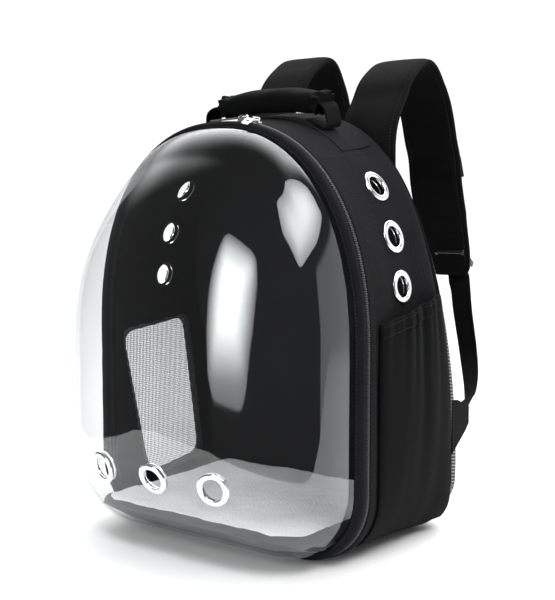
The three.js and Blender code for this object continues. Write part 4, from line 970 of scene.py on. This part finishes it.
def pocket_surface(along, z, up, out):
    back = RIM_Y + body_depth(z) - POCKET_MARGIN
    y = RIM_Y + POCKET_FRONT + (back - RIM_Y - POCKET_FRONT) * along
    share = body_share(y, z)
    ease = np.sin(np.pi * along) ** 0.5
    relief = pocket_relief(along, up) * ease
    x = side_x(share, z) + 1 + np.maximum(pocket_bulge(along, up) + relief, 0.2 * ease) + out
    return np.stack([x, y, z], -1)


def pocket():
    floor = 12.2
    along = np.linspace(0, 1, 130)
    rows = np.linspace(0, 1, 70)
    grids = []
    for out in (1.6, 0):
        grid = []
        for r in rows:
            z = floor + (pocket_top(along) - HEM - GAP - floor) * r
            up = (z - floor) / (223 - floor)
            grid.append(pocket_surface(along, z, up, out))
        grids.append(grid)
    return slab(*grids)


def hem():
    along = np.linspace(0, 1, 130)
    grids = []
    for inner in (False, True):
        grid = []
        for down in np.linspace(HEM, 0, 9):
            z = pocket_top(along) - down
            round_edge = math.sqrt(max(0, 1 - (2 * down / HEM - 1) ** 2))
            pucker = 0.14 * np.sin(2 * np.pi * 17 * along + 3 * along ** 2) * round_edge
            out = 0.2 if inner else 1.6 + 1.2 * round_edge ** 0.5 + pucker
            grid.append(pocket_surface(along, z, np.ones_like(along), out))
        grids.append(grid)
    return slab(*grids)


gathered = make("pocket_cloth", *pocket(), DARK, "dark_cloth", ["side_pocket"])
elastic = make("pocket_elastic", *hem(), DARK, "dark_cloth", ["pocket_hem"])
for number, down in enumerate((3.0, 12.5)):
    along = np.linspace(0.01, 0.99, 200)
    line = pocket_surface(along, pocket_top(along) - down, np.ones_like(along), 3.0)
    stitches(f"hem_stitches_{number}", line, np.tile([1.0, 0, 0], (200, 1)))

# Floor mat: short plush over foam, crowned, with a soft rounded edge

MAT_TOP, MAT_HALF, MAT_FRONT = 38, 134, 58
MAT_ROWS, MAT_COLUMNS = 90, 90


def section_half(half, base, corner, z):
    above = np.clip(z - base, 0, corner)
    return half - corner + math.sqrt(corner ** 2 - (corner - above) ** 2)


def bubble_section(share):
    side = side_falloff(share)
    base = BUBBLE_LOW + (NOSE_Z - BUBBLE_LOW) * (1 - falloff(share, 2.08, 2.07)) + BUBBLE_WALL
    half = RIM_HALF * side - BUBBLE_WALL
    return half, base, RIM_CORNER * 1.19 * side - BUBBLE_WALL


def mat_row(behind):
    """Half width of the top, half width of the foot and the height of the underside."""
    inner = BULGE - BUBBLE_WALL
    if behind < -12:
        half, base, corner = bubble_section(-behind / inner)
        lift = 4
    elif behind < FRAME_DEPTH + 2:
        half, base, corner = RIM_HALF - INNER_LIP, RIM_BASE + INNER_LIP, RIM_CORNER - INNER_LIP
        lift = 0.5
    else:
        half, base, corner = BACK_HALF - WALL, WALL, CORNER - WALL
        lift = GAP + max(0, behind - (BASE_DEPTH - WALL - 15)) * 0.9
    top = min(MAT_HALF, section_half(half, base, corner, MAT_TOP - 3) - 5)
    return top, half - corner, base + lift


def mat():
    rows = np.linspace(-MAT_FRONT, BASE_DEPTH - WALL - 4, MAT_ROWS)
    grids = [[], []]
    for behind in rows:
        top, foot, under = mat_row(behind)
        front = np.clip((behind + MAT_FRONT) / 34, 0, 1)
        back = np.clip((BASE_DEPTH - WALL - 4 - behind) / 12, 0, 1)
        round_front = 1 - 0.3 * (1 - math.sqrt(1 - (1 - front) ** 2))
        shares = np.linspace(-1, 1, MAT_COLUMNS)
        soft = (1 - np.abs(shares) ** 14) ** 0.5
        lip = min(1, math.sqrt(1 - (1 - front) ** 2) + 0.25) * (0.6 + 0.4 * math.sqrt(1 - (1 - back) ** 2))
        x = shares * top * round_front
        y = np.full(MAT_COLUMNS, RIM_Y + behind)
        base = np.full(MAT_COLUMNS, under + 0.6)
        flat = np.stack([x, y, base], 1)
        height = base + (MAT_TOP - base) * (0.35 + 0.65 * soft) * lip
        height = height + (0.8 * ripple(flat, 70, 41) + 0.35 * ripple(flat, 17, 42) - 1.2) * soft * lip
        grids[0].append(np.stack([x, y, height], 1))
        grids[1].append(np.stack([shares * min(foot, top) * round_front, y, base - 0.6], 1))
    return slab(*grids)


plush = make("plush_mat", *mat(), PLUSH, "plush", ["floor_mat"])
# Painted shade: the faces off the top, round the mat's edge and underneath, take the dark side cloth
plush.data.materials.append(MAT_SIDE_SHADE)
for number, face in enumerate(plush.data.polygons):
    row, column = divmod(number, MAT_COLUMNS - 1)
    on_top = 4 <= row < MAT_ROWS - 3 and 4 <= column < MAT_COLUMNS - 5
    face.material_index = 0 if on_top else 1

# Curves


def catmull(points, per=24):
    """Centripetal curve through points, sampled finely."""
    points = np.asarray(points, float)
    ext = np.vstack([2 * points[0] - points[1], points, 2 * points[-1] - points[-2]])
    out = []
    for i in range(1, len(ext) - 2):
        p0, p1, p2, p3 = ext[i - 1:i + 3]
        d0, d1, d2 = (max(np.linalg.norm(b - a) ** 0.5, 1e-4) for a, b in ((p0, p1), (p1, p2), (p2, p3)))
        t1 = ((p1 - p0) / d0 - (p2 - p0) / (d0 + d1) + (p2 - p1) / d1) * d1
        t2 = ((p2 - p1) / d1 - (p3 - p1) / (d1 + d2) + (p3 - p2) / d2) * d1
        for t in np.arange(per) / per:
            square, cube = 3 * (p2 - p1) - 2 * t1 - t2, 2 * (p1 - p2) + t1 + t2
            out.append(p1 + t1 * t + square * t ** 2 + cube * t ** 3)
    out.append(points[-1])
    return np.array(out)


class Path:
    """A curve by share of its length."""

    def __init__(self, points):
        self.points = points
        steps = run_length(points)
        self.shares = steps / steps[-1]

    def at(self, share):
        return between(share, self.shares, self.points)

    def tangent(self, share):
        return unit(self.at(min(1, share + 0.004)) - self.at(max(0, share - 0.004)))


# Shoulder straps

STRAP_X, STRAP_WIDTH, STRAP_THICKNESS = 77.5, 65, 8
ROOT_Z, PEAK_Z, END_Z, REACH = 364, 480, 250, 169.5
ROUTE = [(0, 0.487), (0.003, 0.642), (0.04, 0.73), (0.127, 0.827), (0.19, 0.898), (0.274, 0.951),
         (0.404, 1), (0.49, 0.982), (0.6, 0.903), (0.67, 0.836), (0.717, 0.765), (0.77, 0.655),
         (0.817, 0.575), (0.847, 0.456), (0.91, 0.31), (0.947, 0.212), (0.976, 0.11), (1, 0)]
TAPER_TABLE = ((0, 0.82, 0.94, 0.98, 1), (1, 1, 0.76, 0.66, 0.52))
NECK_TAPER = ((0, 0.9, 0.96, 1), (1, 1, 0.95, 0.8))
STRAP_FORM = {1: (0, 0, 0), -1: (6, 34, 17)}
STRAP_ROOT_Y = 55


def strap_path(side):
    _, lean, rise = STRAP_FORM[side]
    points = []
    for back, up in ROUTE:
        z = END_Z + (PEAK_Z - END_Z) * up
        above = min(1, max(0, (z - ROOT_Z) / (PEAK_Z - ROOT_Z)))
        points.append((0, STRAP_ROOT_Y + REACH * back + lean * math.sqrt(above), z + rise * above))
    return Path(catmull(points))


STRAP_PATHS = {side: strap_path(side) for side in (1, -1)}


def strap_frame(side, along):
    shift = STRAP_FORM[side][0]
    path = STRAP_PATHS[side]
    t = path.tangent(along)
    s = min(1, max(0, (along - 0.8) / 0.2))
    end = s * s * (3 - 2 * s)
    x = STRAP_X - shift * (1 - end) + 10 * end
    return x, path.at(along), np.array([0, t[2], -t[1]])


def on_strap(side, along, across, height):
    x, p, out = strap_frame(side, along)
    return np.array([side * (x + across), *(p + out * height)[1:]])


def strap_half(along, edge=1):
    """Half width towards the outer edge (1) or towards the neck (-1), which narrows later."""
    table = TAPER_TABLE if edge > 0 else NECK_TAPER
    return STRAP_WIDTH / 2 * np.interp(along, *table)


def strap_mesh(side):
    """Foam in cloth: crowned faces between two bound edges, and flatter where it is sewn on."""
    rings = []
    for along in np.linspace(0, 1, 150):
        puff = np.clip(min(along / 0.06, (0.985 - along) / 0.05), 0.25, 1)
        wave = 0.35 * math.sin(along * 75) * math.sin(along * 23 + 2) * puff
        ring = []
        for a in full_turn(40):
            c, s = math.cos(a), math.sin(a)
            half = strap_half(along, 1 if c > 0 else -1)
            across = half * np.sign(c) * abs(c) ** 0.42
            share = abs(across) / half
            crown = (1 - share ** 4) ** 0.5
            bound = 0.62 * (share > 0.9)
            foam = (1.4 + 2.6 * puff * crown) * abs(s) ** 0.25
            height = np.sign(s) * max(2.2 * bound, foam) * (abs(s) > 0.02)
            if 0.8 < share < 0.9:
                height *= 0.72
            ring.append(on_strap(side, along, across, height + wave * (1 - share)))
        rings.append(ring)
    return tube(rings)


BAND_HALF, BAND_PLACE, BAND_STEPS = 30.5, 12, 18

# Ladder locks and the webbing that is threaded through them

LOCK_ALONG, LOCK_TILT, LOCK_HEIGHT, LOCK_THICKNESS, LOCK_BAR = 0.955, math.radians(57), 27, 4, 4
WEB_WIDTH, WEB_THICKNESS = 25, 1.8
TAB_Z, TAB_REACH = 112, 23
TAB_INNER = BACK_HALF - 3 + GAP
TAB_TIP_Y = float(pad_front(np.array([112.0]))[0] + pad_thickness(np.array([112.0]))[0] + TAB_REACH)
WEB_ROUTE = [(0.04, -0.01, 0.08, 0), (0.136, 0.06, 0.15, 0.06), (0.273, 0.17, 0.333, 0.12),
             (0.455, 0.26, 0.634, 0.23), (0.667, 0.46, 0.83, 0.4), (0.803, 0.66, 0.954, 0.56)]


# A band's section in shares of its half width and half thickness, round from one edge
UPPER_SECTION = [(1, 0), (0.97, 0.8), (0.9, 1), (0.45, 0.92), (0, 1), (-0.45, 0.92), (-0.9, 1), (-0.97, 0.8)]
WEB_SECTION = UPPER_SECTION + [(-a, -o) for a, o in UPPER_SECTION]


def on_lock(side, across, along, off):
    x, p, out = strap_frame(side, LOCK_ALONG)
    seat = p - out * (STRAP_THICKNESS / 2 + 2 * GAP)
    off += LOCK_THICKNESS
    return np.array([x + across, seat[1] + along * math.sin(LOCK_TILT) + off * math.cos(LOCK_TILT),
                     seat[2] - along * math.cos(LOCK_TILT) + off * math.sin(LOCK_TILT)])


def web_rows(side):
    half = WEB_THICKNESS / 2
    bar = (LOCK_HEIGHT - LOCK_BAR) / 2
    outer_run = bar + LOCK_BAR + GAP + half + 1.2
    inner_run = bar - GAP - half - 1.2
    over = GAP + half + 0.6
    inside = [(outer_run, -LOCK_THICKNESS - 5), (outer_run, -LOCK_THICKNESS / 2),
              (outer_run - 0.3, over - 0.9), (bar + LOCK_BAR - 0.4, over + 0.3),
              (bar + 0.4, over + 0.3), (inner_run + 0.3, over - 0.9),
              (inner_run, -LOCK_THICKNESS / 2), (inner_run, -LOCK_THICKNESS - 3)]
    rows = [(*on_lock(side, 0, u, w), 0.0) for u, w in inside]
    start = np.array(rows[-1][:3])
    end = np.array([TAB_INNER - 4 * GAP - half, TAB_TIP_Y, TAB_Z])
    rows += [(*(start + (end - start) * np.array(r[:3])), r[3]) for r in WEB_ROUTE]
    rows += [(*(end + np.array([-7, 12, 1])), 0.9), (*(end + np.array([-3, 0, 0])), 1.0),
             (*(end + np.array([-0.6, -16, 0])), 1.0)]
    return np.array(rows)


def webbing_mesh(side):
    rows = web_rows(side)
    per = 6
    line = catmull(rows[:, :3], per)
    turn = np.interp(np.arange(len(line)) / per, np.arange(len(rows)), rows[:, 3]) * np.pi / 2
    rings = []
    for i, (p, t) in enumerate(zip(line, tangents(line))):
        level = np.array([math.cos(turn[i]), -0.5 * math.sin(turn[i]), 0.85 * math.sin(turn[i])])
        width = unit(level - (level @ t) * t)
        normal = np.cross(t, width)
        ring = []
        for a, o in WEB_SECTION:
            ring.append((p + width * a * WEB_WIDTH / 2 + normal * o * WEB_THICKNESS / 2) * [side, 1, 1])
        rings.append(ring)
    return tube(rings)


def tab_mesh(side):
    """Triangle of doubled cloth with a rounded tip, a little puffed between its stitch lines."""
    tab = [(pad_front(np.array([76.0]))[0] + 3, 76), (TAB_TIP_Y - 6, TAB_Z - 15), (TAB_TIP_Y, TAB_Z - 9),
           (TAB_TIP_Y, TAB_Z + 9),
           ((pad_front(np.array([133.0])) + pad_thickness(np.array([133.0])))[0] + 2, 131),
           (pad_front(np.array([112.0]))[0] + 3, 133)]
    tab = np.array(tab, float)
    dense = []
    for a, b in zip(tab, np.roll(tab, -1, axis=0)):
        dense += [a + (b - a) * t for t in np.arange(12) / 12]
    dense = np.array(dense)
    middle = dense.mean(0)
    rings = []
    x0 = TAB_INNER + 1.2
    for share, off in ((1, 0), (0.985, 1.0), (0.95, 1.2), (0.88, 0.9), (0.6, 1.15), (0.25, 1.2), (0.02, 1.2)):
        p = middle + (dense - middle) * share
        rings.append(np.stack([np.full(len(p), side * (x0 + off)), p[:, 0], p[:, 1]], 1))
    back = [np.stack([2 * side * x0 - r[:, 0], r[:, 1], r[:, 2]], 1) for r in rings[::-1]]
    y, z = closed(middle + (dense - middle) * 0.9).T
    stitches(f"tab_stitches_{'right' if side > 0 else 'left'}",
             np.stack([np.full(len(y), side * (x0 + 1.1)), y, z], 1),
             np.tile([float(side), 0, 0], (len(y), 1)))
    return tube(back[:-1] + rings)


CROSSED_BOX = ((0.9, -0.6), (0.9, 0.6), (0.95, 0.6), (0.95, -0.6), (0.9, -0.6), (0.95, 0.6), (0.95, -0.6),
               (0.9, 0.6))

for side, word in SIDES:
    strap = make(f"padded_strap_{word}", *strap_mesh(side), STRAP, "cloth", [f"strap_{word}"])
    for number, share in enumerate((-0.84, 0.84)):
        alongs = np.linspace(0.03, 0.97, 170)
        line = [on_strap(side, a, share * strap_half(a, share), -2.9) for a in alongs]
        inner_line = [on_strap(side, a, share * strap_half(a, share), 2.9) for a in alongs]
        out = np.array([-strap_frame(side, a)[2] for a in alongs])
        stitches(f"strap_stitches_{word}_{number}", line, out)
        stitches(f"strap_lining_stitches_{word}_{number}", inner_line, -out)
    band = []
    for thick in (1, 0):
        grid = []
        for t in np.linspace(0, 1, 8):
            along = (BAND_PLACE + t) / BAND_STEPS
            height = -(4.5 + thick * (1.4 + 5.2 * t))
            grid.append([on_strap(side, along, a, height + 0.5 * (abs(a) / BAND_HALF) ** 6)
                         for a in np.linspace(-BAND_HALF, BAND_HALF, 22)])
        band.append(grid)
    cross_band = make(f"band_cloth_{word}", *slab(*band), WEB, "webbing", [f"strap_band_{word}"])
    box = [on_strap(side, a, s * strap_half(a), -4.1) for a, s in CROSSED_BOX]
    stitches(f"strap_box_{word}", box, np.tile(-strap_frame(side, 0.925)[2], (8, 1)))
    make(f"lower_webbing_{word}", *webbing_mesh(side), WEB, "webbing", [f"strap_webbing_{word}"])
    tab = make(f"corner_tab_{word}", *tab_mesh(side), CLOTH, "cloth", [f"wing_tab_{word}"])

# Moulded adjusters: two rails joined by rounded bars, with the webbing threaded between them


def rounded_bar(points, radius=0.9):
    """A block with rounded edges from its eight corners, as points and faces."""
    shape = bmesh.new()
    corners = [shape.verts.new(p) for p in points]
    for face in ((0, 1, 3, 2), (4, 6, 7, 5), (0, 4, 5, 1), (2, 3, 7, 6), (0, 2, 6, 4), (1, 5, 7, 3)):
        shape.faces.new([corners[i] for i in face])
    bmesh.ops.recalc_face_normals(shape, faces=shape.faces)
    bmesh.ops.bevel(shape, geom=shape.edges[:], offset=radius, segments=3, profile=0.5, affect="EDGES")
    shape.verts.index_update()
    rounded = [tuple(v.co) for v in shape.verts], [[v.index for v in f.verts] for f in shape.faces]
    shape.free()
    return rounded


def adjuster(side):
    wide, long, thick = 18.5, 15, 3.2
    blocks = [(-wide, -wide + 4.2, -long, long, -thick, thick),
              (wide - 4.2, wide, -long, long, -thick, thick),
              (-wide + 3, wide - 3, -long, -long + 4, -thick + 0.6, thick - 0.6),
              (-wide + 3, wide - 3, -2.2, 2.2, -thick + 1.2, thick - 0.9),
              (-wide + 3, wide - 3, long - 4.4, long, -thick, thick + 1)]
    points, faces = [], []
    for x0, x1, a0, a1, w0, w1 in blocks:
        corners = [on_lock(side, x, a + 1, w - 2.2) * [side, 1, 1] for x in (x0, x1) for a in (a0, a1)
                   for w in (w0, w1)]
        block_points, block_faces = rounded_bar(corners)
        faces += [[len(points) + i for i in f] for f in block_faces]
        points += block_points
    return points, faces


for side, word in SIDES:
    make(f"adjuster_{word}", *adjuster(side), PLASTIC, "plastic", [f"ladder_lock_{word}"])

# Top handle: webbing bent down at its ends, and a padded wrap with ruffled ends

HANDLE_Y, HANDLE_SPAN, HANDLE_RISE = -7, 76, 15.6
WRAP_MIDDLE, WRAP_HALF, WRAP_WIDE, WRAP_UP, WRAP_DOWN = 6.5, 61.5, 16, 10.5, 13.5
TOP_RUN = TOP_DEPTH - EDGE_RADIUS - BODY_FRONT
HANDLE_SHARE = (HANDLE_Y - RIM_Y - BODY_FRONT) / TOP_RUN
HANDLE_SLOPE = math.atan2(BACK_TOP - FRONT_TOP, TOP_RUN)


def yoke_top(x):
    p, n = arch_frame(np.array([float(x)]), HANDLE_SHARE)
    return p[0][2] + 2.3 / n[0][2]


HANDLE_BASE = yoke_top(0)


def handle_place(points):
    """From the handle's own frame to the row frame."""
    p = np.asarray(points, float)
    c, s = math.cos(HANDLE_SLOPE), math.sin(HANDLE_SLOPE)
    return np.stack([p[..., 0], HANDLE_Y + p[..., 1] * c - p[..., 2] * s,
                     HANDLE_BASE + p[..., 1] * s + p[..., 2] * c], -1)


GRIP = [(-1, -0.3), (-0.965, 0.32), (-0.87, 0.64), (-0.7, 0.75), (-0.42, 0.89), (0, 1), (0.42, 0.93),
        (0.7, 0.77), (0.87, 0.64), (0.965, 0.32), (1, -0.3)]
GRIP_LINE = catmull([(x * HANDLE_SPAN, 0, u * HANDLE_RISE) for x, u in GRIP])


def handle_foot(side):
    rows = []
    for x in (HANDLE_SPAN - 24, HANDLE_SPAN - 13.5, HANDLE_SPAN - 3):
        nz = arch_frame(np.array([float(x)]), HANDLE_SHARE)[1][0][2]
        rows.append((side * x, 0, (yoke_top(x) - HANDLE_BASE) * math.cos(HANDLE_SLOPE) + 1.6 / nz))
    end = rows[-1][2]
    return rows + [(side * HANDLE_SPAN, 0, end + 2.4), (side * (HANDLE_SPAN + 0.6), 0, end + 6)]


GRIP_SECTION = ((1, 0), (0.96, 0.9), (0.85, 1), (0.4, 0.9), (0, 1), (-0.4, 0.9), (-0.85, 1), (-0.96, 0.9),
                (-1, 0), (-0.96, -0.9), (-0.85, -1), (0, -1), (0.85, -1), (0.96, -0.9))


def handle_webbing():
    line = np.vstack([handle_foot(-1), GRIP_LINE[6:-6:4], handle_foot(1)[::-1]])
    line = catmull(line, 3)
    rings = []
    for p, t in zip(line, tangents(line)):
        n = np.array([-t[2], 0, t[0]])
        ring = [p + np.array([0, a * WEB_WIDTH / 2, 0]) + n * o for a, o in GRIP_SECTION]
        rings.append(handle_place(ring))
    return tube(rings)


def grip_frame(along):
    """Middle of the grip and its normal, from -1 at one end of the wrap to 1 at the other."""
    x = WRAP_MIDDLE + WRAP_HALF * along
    i = int(np.argmin(np.abs(GRIP_LINE[:, 0] - x)))
    t = unit(GRIP_LINE[min(i + 3, len(GRIP_LINE) - 1)] - GRIP_LINE[max(i - 3, 0)])
    return np.array([x, *GRIP_LINE[i][1:]]), np.array([-t[2], 0, t[0]])


def handle_wrap():
    """Soft sleeve: creased along its length, with a drawn-in neck and a flared ruffle at each end."""
    turns = full_turn(64)
    table = ((-1, -0.95, -0.9, -0.84, -0.74, -0.4, 0, 0.4, 0.74, 0.84, 0.9, 0.95, 1),
             (0.96, 0.98, 0.9, 0.84, 0.93, 1, 1, 1, 0.93, 0.84, 0.9, 0.98, 0.96))
    rings = []
    for along in np.linspace(-1, 1, 90):
        p, n = grip_frame(along)
        girth = np.interp(along, *table)
        ruffle = max(0, (abs(along) - 0.84) / 0.16)
        ring = []
        for a in turns:
            c, s = math.cos(a), math.sin(a)
            fold = ruffle * 1.5 * math.sin(9 * a + 2 * along) + 0.3 * math.sin(3 * a + along * 9)
            wide = WRAP_WIDE * girth * np.sign(c) * abs(c) ** 0.75 + c * fold
            high = (WRAP_UP if s > 0 else WRAP_DOWN) * girth * np.sign(s) * abs(s) ** 0.85 + s * fold
            ring.append(p + np.array([0, wide, 0]) + n * high)
        rings.append(handle_place(ring))
    for along in np.linspace(1, -1, 30):
        p, n = grip_frame(along)
        rings.append(handle_place([p + np.array([0, max(-1, min(1, 2 * math.cos(a))) * 13.1, 0])
                                   + n * max(-1, min(1, 3 * math.sin(a))) * 1.6 for a in turns]))
    return hoop(rings)


make("grip_webbing", *handle_webbing(), WEB, "webbing", ["handle_webbing"])
wrap = make("grip_wrap", *handle_wrap(), DARK, "dark_cloth", ["handle_wrap"])

# Carried-over CAD nodes

for name, node in NODES.items():
    if node.hide_render:
        continue
    node.data.materials.clear()
    node.data.materials.append(METAL)
    shade(node, 30)

# Floor, backdrop and lights

# The floor ends a short way in front, as a table would, and runs on behind the bag
FLOOR_FRONT, FLOOR_DROP = 0.5, 0.0005
floor_mesh = bpy.data.meshes.new("floor")
floor_mesh.from_pydata([(-0.38, 0, 0), (9, 0, 0), (9, 16, 0), (-4.56, 16, 0)], [], [(0, 1, 2, 3)])
floor_mesh.materials.append(plain("floor_paint", (0.9, 0.9, 0.9), 0.6))
floor = link("floor", floor_mesh)
floor.location = (math.sin(AZIMUTH) * FLOOR_FRONT, -math.cos(AZIMUTH) * FLOOR_FRONT, -FLOOR_DROP)
floor.rotation_euler = (0, 0, AZIMUTH)
floor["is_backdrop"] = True

# White behind the bag, a wide soft light overhead and a dim room in front
world = bpy.data.worlds.new("world")
scene.world = world
sky = Tree(world)
direction = sky.add("TexCoord").outputs["Generated"]


def toward(axis, start, end):
    """How far a direction points along an axis, as a smooth step."""
    step = sky.add("MapRange", sky.dot(direction, axis), From_Min=start, From_Max=end,
                   options={"interpolation_type": "SMOOTHSTEP"})
    return step.outputs["Result"]


AMBIENT, BACKDROP, OVERHEAD = 0.13, 0.95, 4.2
backdrop = sky.combine("MULTIPLY", toward((0, 1, 0), 0.1, 0.16), toward((0, 0, -1), -0.5, -0.42))
high = sky.combine("MULTIPLY", toward((0, 0, 1), 0.4, 0.65), toward((0, 1, 0), -0.2, 0.3))
overhead = sky.combine("MULTIPLY", high, toward((-1, 0, 0), -0.42, -0.1))
behind = sky.combine("MULTIPLY_ADD", backdrop, BACKDROP, AMBIENT)
strength = sky.combine("MULTIPLY_ADD", overhead, OVERHEAD, behind)
sky.fill(sky.nodes["Background"], Color=(1, 1, 1, 1), Strength=strength)


def light_panel(name, corners, strength, edge_share):
    """A diffuser lit from behind: bright in the middle and dimmer towards its edges."""
    corners = np.array(corners, float)
    middle = corners.mean(0)
    outline = rounded(corners, 6, lambda side: side * 0.2)
    count = len(outline)
    shares = np.linspace(1, 0.02, 12)
    points = [middle + (p - middle) * s for s in shares for p in outline] + [middle]
    faces = grid_faces(len(shares), count, wrap_columns=True)
    faces += [((len(shares) - 1) * count + i, (len(shares) - 1) * count + (i + 1) % count, len(points) - 1)
              for i in range(count)]
    mesh = bpy.data.meshes.new(name)
    mesh.from_pydata([tuple(p) for p in points], [], faces)
    glow = mesh.attributes.new("glow", "FLOAT", "POINT")
    levels = [edge_share + (1 - edge_share) * (1 - s * s) ** 1.5 for s in shares for _ in outline] + [1.0]
    glow.data.foreach_set("value", levels)
    material, tree, shader = new_material(name)
    tree.nodes.remove(shader)
    level = tree.add("Attribute", options={"attribute_name": "glow"}).outputs["Fac"]
    emission = tree.add("Emission", Strength=tree.combine("MULTIPLY", level, strength))
    tree.fill(tree.nodes["Material Output"], Surface=emission.outputs["Emission"])
    mesh.materials.append(material)
    link(name, mesh)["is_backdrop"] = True


FRONT_PANEL = [(-0.5, -2.6, 2.45), (0.6, -2.6, 1.87), (0.58, -2.6, 0.4), (0.47, -2.6, -0.33),
               (-0.25, -2.6, -0.28), (-0.32, -2.6, 0.77)]
SIDE_PANEL = [(0.58, -0.45, 2.1), (0.65, -0.67, 2.05), (1.03, -0.98, 1.75), (1.64, -0.78, 1.28),
              (1.56, 0.26, 1.35), (1.34, 0.84, 1.51), (0.96, 0.52, 1.81)]
light_panel("front_panel", FRONT_PANEL, 17, 0.12)
light_panel("side_panel", SIDE_PANEL, 11, 0.35)

low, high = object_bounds()
